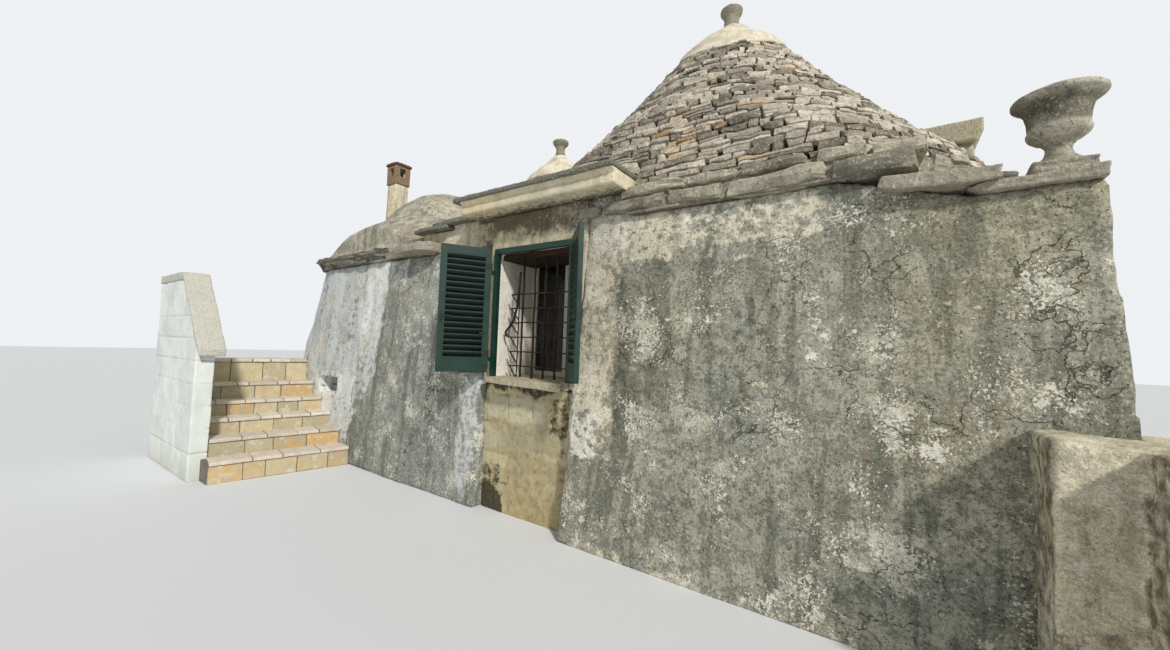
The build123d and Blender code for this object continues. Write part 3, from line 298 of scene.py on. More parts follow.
def iron_look(name):
    """Wrought iron with brown rust."""
    look = Look(name, (30, 27, 25), roughness=0.75, specular=0.3, metallic=0.25)
    rust = look.noise(55.0, 4.0, 0.65)
    look.coat((66, 50, 40), rust, 0.42, 0.62)
    return look.finish(rust, 0.002, 0.8, grain=0.0)


def glass_look(name):
    """Dusty window pane."""
    look = Look(name, (16, 20, 22), roughness=0.08, specular=0.5)
    dust = look.noise(20.0, 4.0, 0.6)
    look.coat((60, 62, 60), dust, 0.4, 0.7)
    look.set(Alpha=0.55, Roughness=look.band(dust, 0.4, 0.7, 0.04, 0.3))
    return look.finish(grain=0.0)


def board_look(name, light, dark, stretch):
    """Timber boards with grain along one axis."""
    look = Look(name, light, roughness=0.8)
    grain = look.noise(26.0, 5.0, 0.65, stretch=stretch, distortion=0.4)
    look.coat(dark, grain, 0.35, 0.65)
    return look.finish(grain, 0.003, 0.7, grain=0.1, fine=90.0)


def slab_look(name, light, dark, warm):
    """Sawn stone of treads and tiles. Reads the marks shade and rust."""
    look = Look(name, dark, roughness=0.75, specular=0.3)
    clouds = look.noise(9.0, 5.0, 0.6)
    fine = look.noise(52.0, 4.0, 0.6, offset=5.0)
    veins = look.noise(13.0, 5.0, 0.65, offset=8.0)
    look.coat(light, look.mark("shade"), 0.0, 1.0)
    look.stain("rust", veins, 2.6, 0.45, 1.05, 0.8, warm)
    look.coat((168, 160, 144), clouds, 0.46, 0.68, 0.35)
    look.coat((232, 226, 210), veins, 0.34, 0.46, 0.0, 0.4)
    look.coat((112, 102, 84), fine, 0.58, 0.7, 0.35)
    return look.finish(look.math("ADD", fine, clouds), 0.004, 0.7, grain=0.08)


def block_look(name):
    """Painted blocks: white with a worn bluish tint, and grey at the foot. Reads the marks shade and joint."""
    look = Look(name, (222, 228, 222), roughness=0.85)
    clouds = look.noise(3.5, 5.0, 0.6)
    fine = look.noise(44.0, 4.0, 0.65, offset=3.0)
    look.coat((236, 238, 234), look.mark("shade"), 0.0, 1.0)
    look.coat((194, 210, 203), clouds, 0.42, 0.68, 0.5)
    look.coat((164, 162, 148), fine, 0.62, 0.7, 0.35)
    look.coat((150, 152, 142), look.mark("joint"), 0.3, 0.9, 0.5)
    look.coat((168, 166, 148), look.upward(look.place), 0.0, 0.3, 0.0, 0.35)
    return look.finish(look.math("ADD", fine, clouds), 0.005, 0.7, grain=0.06)


LOOKS = {
    "main": plaster_look(
        "main_plaster", (152, 151, 136), (184, 181, 163), (98, 100, 88), wash=(232, 223, 200), streaks=0.5,
        speck=1.0, cracks=0.65),
    "west": plaster_look(
        "west_plaster", (148, 150, 140), (174, 175, 165), (102, 105, 98), wash=(210, 214, 214),
        white=(236, 239, 238), speck=0.85, cracks=0.7),
    "bay": plaster_look(
        "bay_plaster", (212, 201, 172), (224, 215, 190), (112, 98, 70), wash=(228, 222, 208), flakes=0.3,
        mottling=0.25, streaks=0.3, speck=0.25, spotting=0.4),
    "dome": plaster_look(
        "dome_plaster", (168, 162, 145), (200, 192, 172), (108, 104, 92), mottling=0.45, streaks=0.5,
        spotting=0.7),
    "pier": plaster_look(
        "pier_plaster", (212, 202, 172), (230, 222, 200), (118, 104, 78), mottling=0.3, streaks=0.3, speck=0.4,
        spotting=0.4),
    "shaft": plaster_look(
        "shaft_plaster", (222, 214, 188), (236, 230, 208), (146, 136, 108), flakes=0.3, mottling=0.25, streaks=0.5,
        speck=0.25, spotting=0.35),
    "cornice": plaster_look(
        "cornice_stone", (226, 215, 182), (236, 227, 200), (108, 94, 66), flakes=0.2, mottling=0.12, streaks=0.12,
        speck=0.12, spotting=0.2),
    "cone": stone_look("cone_stone", (84, 79, 70), (168, 158, 141), (232, 223, 206), rust=0.6, speck=0.55),
    "eave": stone_look("eave_stone", (116, 112, 100), (168, 161, 144), (204, 196, 176), rust=0.4, speck=0.5,
                       scale=0.8),
    "core": stone_look("joint_earth", (46, 42, 36), (62, 56, 48), (80, 74, 64), speck=0.1),
    "slab": stone_look("roof_slab_stone", (84, 84, 76), (120, 119, 108), (156, 153, 138), speck=0.5),
    "worn": stone_look("worn_limestone", (126, 119, 100), (190, 180, 152), (222, 212, 186)),
    "urn": stone_look("urn_stone", (78, 75, 63), (146, 141, 123), (208, 202, 184), speck=0.4, scale=1.5),
    "brick": stone_look("brick_clay", (100, 78, 58), (144, 118, 92), (176, 152, 124), speck=0.4, scale=1.4),
    "burnt": stone_look("burnt_clay", (66, 48, 38), (100, 76, 58), (136, 108, 84), speck=0.2, scale=1.4),
    "coping": stone_look("coping_stone", (168, 167, 156), (204, 202, 189), (228, 226, 215), speck=0.4),
    "mortar": stone_look("grey_mortar", (108, 102, 90), (134, 127, 112), (156, 148, 130), speck=0.2),
    "cap": limewash_look("cap_lime"),
    "tufo": tufo_look("tufo_block"),
    # The green paint's faces that look down get painted shade
    "green": paint_look("green_paint", (10, 47, 37), (18, 62, 50), under=(12, 20, 17)),
    "fitting": paint_look("dark_fitting", (22, 30, 27), (46, 52, 46), roughness=0.6),
    "white": paint_look("white_paint", (206, 202, 190), (176, 170, 154), roughness=0.6),
    "iron": iron_look("iron"),
    "glass": glass_look("window_glass"),
    "boards": board_look("soffit_board", (66, 45, 32), (38, 27, 20), (0.15, 1.0, 1.0)),
    "tread": slab_look("tread_stone", (224, 216, 202), (198, 188, 172), (214, 200, 184)),
    "riser": slab_look("riser_tile", (206, 192, 156), (176, 166, 140), (208, 166, 104)),
    "block": block_look("white_block"),
}


# Shapes

# Values that looks read at the points of a mesh
MARKS = ("pale", "white", "warm", "dark", "crack", "shade", "rust", "dark_and_shade", "joint")


def hashed(cells, seed):
    """A fixed random number from 0 to 1 for each lattice cell."""
    x, y, z = (cells[..., k].astype(np.int64) for k in range(3))
    n = (x * 374761393 + y * 668265263 + z * 2147483647 + seed * 1274126177) & 0x7FFFFFFF
    n = ((n ^ (n >> 13)) * 1103515245 + 12345) & 0x7FFFFFFF
    return ((n ^ (n >> 16)) & 0xFFFFFF) / float(0xFFFFFF)


def lumps(points, size, seed=0, octaves=3):
    """Smooth random field from about -1 to 1, with lumps of a size."""
    total = np.zeros(points.shape[:-1])
    weight = 1.0
    for k in range(octaves):
        at = points * (2.0 ** k / size) + seed * 3.71 + k * 9.13
        low = np.floor(at)
        part = at - low
        part = part * part * (3.0 - 2.0 * part)
        for corner in itertools.product((0, 1), repeat=3):
            share = np.prod(np.where(np.array(corner) == 1, part, 1.0 - part), axis=-1)
            total += weight * share * (hashed(low + corner, seed + k) * 2.0 - 1.0)
        weight *= 0.5
    return total


def mesh_points(mesh, part="co"):
    """Places or normals of a mesh's points as an array."""
    values = np.zeros(len(mesh.vertices) * 3)
    mesh.vertices.foreach_get(part, values)
    return values.reshape(-1, 3)


def move_points(mesh, points):
    """Put the points of a mesh in new places."""
    mesh.vertices.foreach_set("co", points.ravel())
    mesh.update()


def mark(obj, **values):
    """Give the points of a piece values that its look reads."""
    for name, value in values.items():
        attribute = obj.data.attributes.get(name) or obj.data.attributes.new(name, "FLOAT", "POINT")
        attribute.data.foreach_set("value", np.asarray(value, np.float32))


def new_object(name, mesh, look, smooth=False, body=HOUSE):
    """A finished piece of the scene, riding on its body."""
    obj = bpy.data.objects.new(name, mesh)
    bpy.context.scene.collection.objects.link(obj)
    mesh.materials.clear()
    mesh.materials.append(LOOKS[look])
    mesh.polygons.foreach_set("use_smooth", [smooth] * len(mesh.polygons))
    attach(obj, body)
    return obj


def cad_copy(*nodes):
    """One closed mesh of some CAD nodes."""
    work = bmesh.new()
    for node in nodes:
        work.from_mesh(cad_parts[node].data)
    bmesh.ops.remove_doubles(work, verts=work.verts, dist=1e-5)
    mesh = bpy.data.meshes.new("copy")
    work.to_mesh(mesh)
    work.free()
    return mesh


# Worn pieces: CAD nodes, look, slot, size of the cells, big and small lumps as (size, height), seed, and where
# they are given the depth of flat layers and a shift of the whole surface
WORN = {
    "main_cap_lime": (["main_cap"], "cap", "cap_plaster", 0.018, (0.16, 0.016), (0.05, 0.003), 3),
    "main_finial_stone": (["main_finial"], "urn", "limestone", 0.008, (0.07, 0.004), (0.02, 0.0012), 4),
    "second_cap_lime": (["second_cap"], "cap", "cap_plaster", 0.02, (0.16, 0.016), (0.05, 0.003), 5),
    "second_finial_stone": (["second_finial"], "urn", "limestone", 0.009, (0.07, 0.004), (0.02, 0.0012), 6),
    "low_dome_plaster": (["low_dome", "west_roof_deck"], "dome", "dome_plaster", 0.032, (0.4, 0.014),
                         (0.09, 0.005), 7, 0.0, -0.006),
    "bracket_stone_worn": (["bracket_stone"], "eave", "limestone", 0.01, (0.2, 0.008), (0.04, 0.003), 51, 0.004),
    "side_masonry_worn": (["side_masonry"], "bay", "limestone", 0.01, (0.2, 0.008), (0.04, 0.003), 52, 0.004),
    "roof_slab_low_worn": (["roof_slab_low"], "slab", "limestone", 0.01, (0.2, 0.008), (0.04, 0.003), 53, 0.004),
    "roof_slab_high_worn": (["roof_slab_high"], "slab", "limestone", 0.01, (0.2, 0.008), (0.04, 0.003), 54, 0.004),
    "chimney_shaft_worn": (["chimney_shaft"], "shaft", "whitewashed_plaster", 0.02, (0.3, 0.008), (0.06, 0.002), 61),
    "chimney_head_worn": (["chimney_head"], "brick", "brick", 0.008, (0.1, 0.003), (0.03, 0.001), 62),
    "chimney_cap_worn": (["chimney_cap"], "burnt", "limestone", 0.008, (0.1, 0.004), (0.03, 0.002), 63),
    "south_wall_plaster": (["south_wall"], "main", "plaster", 0.024, (0.45, 0.011), (0.09, 0.004), 71),
    "left_front_plaster": (["left_front_wall", "south_west_corner_wall"], "west", "whitewashed_plaster", 0.03,
                           (0.45, 0.016), (0.1, 0.005), 74),
    "back_plaster": (["west_wall", "north_west_corner_wall", "west_north_wall", "main_north_wall"], "west",
                     "plaster", 0.055, (0.5, 0.018), (0.12, 0.004), 76),
    "east_plaster": (["east_wall_south", "east_wall_north", "east_wall_foot"], "main", "plaster", 0.05,
                     (0.5, 0.016), (0.12, 0.004), 78),
    "middle_wall_plaster": (["middle_wall"], "bay", "whitewashed_plaster", 0.05, (0.5, 0.01), (0.12, 0.003), 80),
    "gable_plaster": (["gable_wall"], "main", "plaster", 0.035, (0.4, 0.01), (0.1, 0.003), 81),
    "gable_cornice_worn": (["gable_cornice"], "worn", "cornice_stone", 0.012, (0.2, 0.003), (0.05, 0.001), 83),
    "bay_infill_blocks": (["bay_infill_wall"], "tufo", "tufo", 0.014, (0.2, 0.006), (0.05, 0.003), 91),
    "bay_upper_plaster": (["bay_upper_wall"], "bay", "whitewashed_plaster", 0.018, (0.3, 0.006), (0.06, 0.002), 95),
    "window_sill_worn": (["window_sill"], "worn", "limestone", 0.008, (0.16, 0.006), (0.04, 0.0025), 96),
    "bay_cornice_band_worn": (["bay_cornice_band"], "cornice", "cornice_stone", 0.01, (0.15, 0.002),
                              (0.04, 0.001), 97),
    "bay_cornice_slab_worn": (["bay_cornice_slab"], "slab", "cornice_stone", 0.01, (0.15, 0.005), (0.04, 0.002), 98),
    "corner_slab_west_worn": (["corner_slab_west"], "eave", "limestone", 0.01, (0.16, 0.008), (0.04, 0.003), 101,
                              0.006),
    "corner_slab_east_worn": (["corner_slab_east"], "eave", "limestone", 0.01, (0.16, 0.008), (0.04, 0.003), 102,
                              0.006),
    "urn_pedestal_worn": (["urn_pedestal"], "eave", "limestone", 0.008, (0.16, 0.008), (0.04, 0.003), 103, 0.006),
    "urn_stone": (["urn"], "urn", "limestone", 0.007, (0.09, 0.002), (0.02, 0.001), 104),
    "corner_pier_worn": (["corner_pier"], "pier", "plaster", 0.016, (0.3, 0.014), (0.06, 0.004), 105),
    "parapet_blocks": (["stair_parapet"], "block", "block_wall", 0.014, (0.25, 0.005), (0.05, 0.0015), 113),
    "parapet_coping_worn": (["parapet_coping"], "coping", "limestone", 0.012, (0.2, 0.006), (0.05, 0.002), 115,
                            0.002),
}


def worn(name):
    """CAD nodes as one worn mass, by the piece's row in the table."""
    nodes, look, slot, cell, big, small, seed, *extra = WORN[name]
    layers, shift = (*extra, 0.0, 0.0)[:2]
    source = bpy.data.objects.new("worn", cad_copy(*nodes))
    bpy.context.scene.collection.objects.link(source)
    remesh = source.modifiers.new("cells", "REMESH")
    remesh.mode = "VOXEL"
    remesh.voxel_size = cell
    graph = bpy.context.evaluated_depsgraph_get()
    mesh = bpy.data.meshes.new_from_object(source.evaluated_get(graph))
    bpy.data.objects.remove(source)
    points = mesh_points(mesh)
    normals = mesh_points(mesh, "normal")
    lift = shift + big[1] * lumps(points, big[0], seed) + small[1] * lumps(points, small[0], seed + 7, 2)
    if layers > 0.0:
        upright = 1.0 - np.abs(normals[:, 2])
        lift += layers * upright * lumps(points * np.array([0.3, 0.3, 3.0]), 0.06, seed + 11, 2)
    move_points(mesh, points + normals * lift[:, None])
    obj = new_object(name, mesh, look, smooth=True)
    mark(obj, **{key: np.full(len(points), 0.5 if key == "shade" else 0.0) for key in MARKS})
    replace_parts(obj, *nodes)
    return obj


def block_form(cuts):
    """Points from -1 to 1 and faces of a cube with its sides cut in (along, out, up) squares."""
    index = {}
    points = []
    faces = []

    def corner(p):
        key = tuple(round(v, 6) for v in p)
        if key not in index:
            index[key] = len(points)
            points.append(key)
        return index[key]

    for axis, side in itertools.product(range(3), (-1, 1)):
        b = (axis + 1) % 3
        c = (axis + 2) % 3
        for i, j in itertools.product(range(cuts[b]), range(cuts[c])):
            quad = []
            for m, n in ((i, j), (i + 1, j), (i + 1, j + 1), (i, j + 1)):
                p = [0.0, 0.0, 0.0]
                p[axis] = float(side)
                p[b] = -1 + 2 * m / cuts[b]
                p[c] = -1 + 2 * n / cuts[c]
                quad.append(corner(p))
            faces.append(quad if side > 0 else quad[::-1])
    return np.array(points), np.array(faces)


class Pile:
    """Many rough stones gathered into one mesh. Warp is how far their corners stray, as a share of
    the half size along each direction."""

    CORNERS = np.array(list(itertools.product((-1.0, 1.0), repeat=3)))

    def __init__(self, cuts=(3, 3, 3), seed=1, warp=(0.0, 0.0, 0.0), layered=0.0):
        self.form, self.faces = block_form(cuts)
        self.dice = random.Random(seed)
        self.seed = seed
        self.warp = np.array(warp)
        self.layered = layered
        self.stones = []

    def add(self, middle, along, out, up, size, rounding=0.16, rough=0.012, shade=None, rust=0.0):
        """A stone by its middle, three directions and full size along each of them."""
        shade = self.dice.random() if shade is None else shade
        self.stones.append((middle, along, out, up, size, rounding, rough, shade, rust))

    def build(self, name, look, body=HOUSE):
        """The mesh of all stones."""
        count = len(self.form)
        sides = np.sort(np.abs(self.form), axis=1)
        edge = (sides[:, 1] * sides[:, 2]) ** 3
        near = np.prod((1.0 + self.form[:, None, :] * self.CORNERS[None]) / 2.0, axis=-1)
        stray = np.random.default_rng(self.seed).uniform(-1.0, 1.0, (len(self.stones), 8, 3)) * self.warp
        cloud = np.zeros((len(self.stones), count, 3))
        shades = np.zeros((len(self.stones), count))
        rusts = np.zeros((len(self.stones), count))
        roughs = np.zeros((len(self.stones), 1, 1))
        for k, (middle, along, out, up, size, rounding, rough, shade, rust) in enumerate(self.stones):
            axes = np.array([along, out, up]) * (np.array(size)[:, None] / 2)
            small = min(size)
            pull = 1.0 - rounding * small * edge[:, None] / np.array(size)[None, :]
            cloud[k] = np.array(middle) + (self.form * pull + near @ stray[k]) @ axes
            shades[k] = shade
            rusts[k] = rust
            roughs[k] = rough
        shake = np.stack([lumps(cloud, 0.09, self.seed + k, 2) for k in range(3)], axis=-1)
        if self.layered > 0.0:
            flat = cloud * np.array([0.4, 0.4, 4.0])
            sheets = [lumps(flat, 0.09, self.seed + k, 2) for k in (5, 6)]
            shake[..., :2] += self.layered * np.stack(sheets, axis=-1)
        cloud = cloud + shake * roughs
        mesh = bpy.data.meshes.new(name)
        total = len(self.stones) * count
        mesh.vertices.add(total)
        mesh.vertices.foreach_set("co", cloud.ravel())
        faces = (self.faces[None] + (np.arange(len(self.stones)) * count)[:, None, None]).reshape(-1, 4)
        mesh.loops.add(faces.size)
        mesh.loops.foreach_set("vertex_index", faces.ravel())
        mesh.polygons.add(len(faces))
        mesh.polygons.foreach_set("loop_start", np.arange(len(faces)) * 4)
        mesh.update(calc_edges=True)
        mark(new_object(name, mesh, look, body=body), shade=shades.ravel(), rust=rusts.ravel())


class Ring:
    """Outer surface of a CAD node round a vertical axis, found by rays."""

    STEPS = 900

    def __init__(self, node, axis):
        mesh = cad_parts[node].data
        places = [v.co[:] for v in mesh.vertices]
        self.tree = BVHTree.FromPolygons(places, [p.vertices[:] for p in mesh.polygons])
        self.axis = axis

    def at(self, z, reach=6.0):
        """Points of the outline at a height, None where there is no surface. A ray that slips between
        two faces is cast again beside its place."""
        line = []
        for k in range(self.STEPS):
            for nudge in (0.0, 0.001, -0.001):
                angle = 2 * math.pi * k / self.STEPS + nudge
                way = Vector((math.cos(angle), math.sin(angle), 0.0))
                start = Vector((self.axis.x, self.axis.y, z)) + way * reach
                hit = self.tree.ray_cast(start, -way, reach)[0]
                if hit is not None:
                    break
            line.append(hit)
        return line


def lay_course(pile, line, long, tall, deep, lean=0.0, proud=0.0, skip=None, gap=0.006, jitter=0.01, rust=None,
               split=0.0):
    """Lay stones along an outline: long is (least, most), tall the course, lean the tilt back in radians,
    and split the share of stones that are two thin ones."""
    dice = pile.dice
    count = len(line)
    first = dice.randrange(count)
    k = first
    end = first + count
    while k < end:
        want = dice.uniform(*long)
        start = line[k % count]
        step = 1
        while start is not None and step < count // 3:
            there = line[(k + step) % count]
            if there is None or (there - start).length >= want:
                break
            step += 1
        there = line[(k + step) % count]
        k += step
        if start is None or there is None or k > end + 2:
            continue
        chord = there - start
        if chord.length > 1.8 * want or chord.length < 0.3 * long[0]:
            continue
        middle = (start + there) / 2
        mid_line = line[(k - step // 2) % count]
        if mid_line is not None:
            middle = (middle + mid_line) / 2
        if skip is not None and (skip(start) or skip(there) or skip(middle)):
            continue
        along = chord.normalized()
        out = Vector((along.y, -along.x, 0.0))
        up = Vector((0.0, 0.0, 1.0))
        layers = ((-0.25, 0.5), (0.25, 0.5)) if dice.random() < split else ((0.0, 1.0),)
        for rise, share in layers:
            turn = Matrix.Rotation(-lean, 3, along) @ Matrix.Rotation(dice.gauss(0, 0.02), 3, out)
            out_leant = turn @ out
            up_leant = turn @ up
            depth = deep * dice.uniform(0.85, 1.15)
            height = tall * share * dice.uniform(0.86, 1.12)
            stand = proud + dice.uniform(-1.0, 1.0) * jitter - rise * tall * math.tan(lean)
            centre = middle + out * stand - out_leant * depth / 2
            centre += up * (rise + dice.uniform(-0.06, 0.06)) * tall + along * dice.uniform(-0.5, 0.5) * gap
            size = (chord.length - gap * dice.uniform(0.2, 1.8), depth, height)
            pile.add(centre, turn @ along, out_leant, up_leant, size, rust=rust(middle, dice) if rust else 0.0)


def patches(points, spots, seed, soft=0.07):
    """Frayed patches on a front, each (x0, x1, z0, z1, amount) in the plan frame."""
    x, _, z = (points - ORIGIN).T
    ragged = 0.05 * lumps(points, 0.16, seed)
    total = np.zeros(len(points))
    for x0, x1, z0, z1, amount in spots:
        inside = np.minimum(np.minimum(x - x0, x1 - x), np.minimum(z - z0, z1 - z)) + ragged
        total = np.maximum(total, amount * np.clip(inside / soft + 0.5, 0.0, 1.0))
    return total


def joints(points, courses, long, seed):
    """Distance to the nearest joint and a random share for each block of coursed masonry."""
    run = points[:, 0] + points[:, 1]
    z = points[:, 2]
    level = np.clip(np.searchsorted(courses, z) - 1, 0, len(courses) - 2)
    lows = np.asarray(courses)[level]
    highs = np.asarray(courses)[level + 1]
    distance = np.minimum(z - lows, highs - z)
    share = np.zeros(len(points))
    for k in range(len(courses) - 1):
        dice = random.Random(seed * 97 + k)
        edges = [run.min() - dice.uniform(0.0, long)]
        while edges[-1] < run.max() + long:
            edges.append(edges[-1] + long * dice.uniform(0.8, 1.2))
        here = level == k
        cell = np.searchsorted(edges, run[here])
        near = np.minimum(run[here] - np.asarray(edges)[cell - 1], np.asarray(edges)[cell] - run[here])
        distance[here] = np.minimum(distance[here], near)
        shades = np.array([dice.random() for _ in edges] + [0.5])
        share[here] = shades[cell]
    return distance, share


def carve(obj, courses, long, depth, width, seed, filled=0.0):
    """Sink the joints of coursed blocks in a worn mass, save where they are filled, and shade the blocks
    one by one."""
    points = mesh_points(obj.data)
    normals = mesh_points(obj.data, "normal")
    distance, share = joints(points, courses, long, seed)
    wander = distance + 0.004 * lumps(points, 0.05, seed + 3, 2)
    upright = 1.0 - np.abs(normals[:, 2])
    groove = np.clip(1.0 - wander / width, 0.0, 1.0) ** 1.5 * (1.0 - filled)
    points = points - normals * (depth * groove * upright)[:, None]
    move_points(obj.data, points)
    mark(obj, shade=share, joint=groove * upright)
    return points


def cracks(points, lines, seed, width):
    """How near each point of a front is to cracked places; lines are runs of (x, z) in the plan frame."""
    stray = np.stack([lumps(points, 0.09, seed + k, 2) for k in range(2)], axis=-1)
    place = (points - ORIGIN)[:, [0, 2]] + 0.02 * stray
    nearest = np.full(len(points), 9.0)
    for line in lines:
        for a, b in zip(line, line[1:]):
            a = np.array(a)
            way = np.array(b) - a
            share = np.clip(((place - a) @ way) / (way @ way), 0.0, 1.0)
            nearest = np.minimum(nearest, np.linalg.norm(place - a - share[:, None] * way, axis=1))
    return np.clip(1.0 - nearest / width, 0.0, 1.0)


def rods(name, runs, look):
    """Square bars swept along runs of points; each run is (points, half thickness)."""
    sides = 4
    verts = []
    faces = []
    for points, half in runs:
        points = [Vector(p) for p in points]
        base = len(verts)
        for k, p in enumerate(points):
            before = points[max(0, k - 1)]
            after = points[min(len(points) - 1, k + 1)]
            way = (after - before).normalized()
            side = way.cross(Vector((0.0, 1.0, 0.0)) if abs(way.y) < 0.9 else Vector((0.0, 0.0, 1.0))).normalized()
            other = way.cross(side)
            for j in range(sides):
                angle = 2 * math.pi * (j + 0.5) / sides
                reach = half / math.cos(math.pi / sides)
                verts.append(p + (side * math.cos(angle) + other * math.sin(angle)) * reach)
        for k in range(len(points) - 1):
            for j in range(sides):
                a = base + k * sides + j
                b = base + k * sides + (j + 1) % sides
                faces.append((a, b, b + sides, a + sides))
        last = base + (len(points) - 1) * sides
        faces.append(tuple(base + j for j in reversed(range(sides))))
        faces.append(tuple(last + j for j in range(sides)))
    mesh = bpy.data.meshes.new(name)
    mesh.from_pydata([v[:] for v in verts], [], faces)
    work = bmesh.new()
    work.from_mesh(mesh)
    bmesh.ops.recalc_face_normals(work, faces=work.faces)
    work.to_mesh(mesh)
    work.free()
    return new_object(name, mesh, look)


def core_of(name, node, axis):
    """Inside of a cone behind its stones: the solid with its outer face drawn in."""
    mesh = cad_copy(node)
    points = mesh_points(mesh)
    normals = mesh_points(mesh, "normal")
    spoke = points[:, :2] - np.array([axis.x, axis.y])
    outward = (spoke * normals[:, :2]).sum(axis=1) > 0
    points[outward] -= normals[outward] * CORE_INSET
    move_points(mesh, points)
    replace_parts(new_object(name, mesh, "core", smooth=True), node)


# Roofs

MAIN_AXIS = spot(0.69, 2.2, 0.0)
SECOND_AXIS = spot(-2.4, 2.83, 0.0)
YARD_FACING = math.radians(-73.0)

# Foot and top of each cone, its courses, and how much of the slope is in the face of a course
MAIN_CONE_Z = (2.9, 5.0)
MAIN_COURSES = 32
SECOND_CONE_Z = (2.7, 4.3)
SECOND_COURSES = 24
COURSE_LEAN = 0.45
CORE_INSET = 0.05

# Plan x where the west block's eave ends and the plaster runs up beside it
EAVE_END = -2.72

# Height of the lime's lower edge on the big cone: towards the yard, a quarter turn to either side of it, behind
LIME_FRONT = 4.77
LIME_SIDES = (4.97, 4.97)
LIME_BACK = 4.92


def in_box(low, high):
    """Test for points inside a plan box."""
    a = spot(*low)
    b = spot(*high)

    def test(p):
        return all(a[k] <= p[k] <= b[k] for k in range(3))

    return test


def bearing(p):
    """Angle of a place round the big cone, from the side that faces the yard."""
    angle = math.atan2(p.y - MAIN_AXIS.y, p.x - MAIN_AXIS.x) - YARD_FACING
    return (angle + math.pi) % (2 * math.pi) - math.pi


def ochre(middle, dice):
    """Rust on a roof stone: in clusters on the side that faces the yard, half a metre over the eaves."""
    cluster = lumps(np.array(middle), 0.45, 12, 1)
    turn = max(0.0, math.cos(bearing(middle)))
    height = math.exp(-((middle.z - 3.42) / 0.3) ** 2)
    share = 0.01 + 0.7 * turn ** 2 * height * max(0.0, cluster)
    return dice.uniform(0.55, 1.0) if dice.random() < share else dice.uniform(0.0, 0.3)


def cone_stones(ring, span, courses, long, skip, seed, slope, parts):
    """Dry stones of a cone in its courses; long is given at foot and top. Parts are (name, test for a
    stone's place, cuts of a stone)."""
    laid = Pile(seed=seed)
    tall = (span[1] - span[0]) / courses
    lean = math.atan(COURSE_LEAN * slope)
    for k in range(courses):
        share = k / courses
        reach = tuple(a + (b - a) * share for a, b in zip(*long))
        lay_course(laid, ring.at(span[0] + (k + 0.5) * tall), reach, tall * 1.02, 0.2, lean=lean, proud=0.004,
                   gap=0.014, jitter=0.011, rust=ochre, split=0.3, skip=skip)
    for name, side, cuts in parts:
        pile = Pile(cuts, seed, (0.12, 0.05, 0.2))
        pile.stones = [stone for stone in laid.stones if side(stone[0])]
        pile.build(name, "cone")


def lime_edge(p):
    """Height of the lime's ragged lower edge on the big cone."""
    turn = bearing(p)
    if abs(turn) > math.pi / 2:
        height = LIME_BACK
    else:
        side = LIME_SIDES[0] if turn < 0 else LIME_SIDES[1]
        height = LIME_FRONT + (side - LIME_FRONT) * math.sin(abs(turn)) ** 2
    return height + 0.02 * float(lumps(np.array(p) * np.array([1.0, 1.0, 0.0]), 0.3, 15, 2))


def lime_skirt(ring):
    """Lime smeared down from the big cone's cap over the top courses, to its ragged edge."""
    rows = 9
    count = ring.STEPS
    top = MAIN_CONE_Z[1]
    heights = [top + 0.012 - 0.03 * k for k in range(20)]
    lines = [ring.at(min(z, top - 0.003)) for z in heights]
    middle = np.array([ring.axis.x, ring.axis.y])
    reach = np.array([[math.hypot(*(np.array(p)[:2] - middle)) for p in line] for line in lines])
    reach = np.array([reach[max(0, k - 1):k + 2].mean(axis=0) for k in range(len(heights))])
    outer = np.zeros((rows, count, 3))
    for k in range(count):
        angle = 2 * math.pi * k / count
        low = min(lime_edge(lines[-1][k]), top - 0.03)
        for row in range(rows):
            z = heights[0] + (low - heights[0]) * row / (rows - 1)
            radius = float(np.interp(-z, [-h for h in heights], reach[:, k])) + 0.012
            outer[row, k] = (middle[0] + math.cos(angle) * radius, middle[1] + math.sin(angle) * radius, z)
    lift = 0.006 * lumps(outer, 0.14, 16) + 0.002 * lumps(outer, 0.04, 17, 2)
    ways = outer[..., :2] - middle
    ways /= np.linalg.norm(ways, axis=-1, keepdims=True)
    inner = outer.copy()
    outer[..., :2] += ways * lift[..., None]
    inner[..., :2] -= ways * 0.05
    total = rows * count
    last = total - count
    faces = []
    for k in range(count):
        b = (k + 1) % count
        for low in range(0, last, count):
            faces.append((low + b, low + k, low + k + count, low + b + count))
            faces.append(tuple(total + v for v in reversed(faces[-1])))
        faces.append((k, b, b + total, k + total))
        faces.append((last + b, last + k, last + k + total, last + b + total))
    mesh = bpy.data.meshes.new("main_cone_lime")
    mesh.from_pydata(np.concatenate([outer.reshape(-1, 3), inner.reshape(-1, 3)]).tolist(), [], faces)
    mesh.update()
    new_object("main_cone_lime", mesh, "cap", smooth=True)


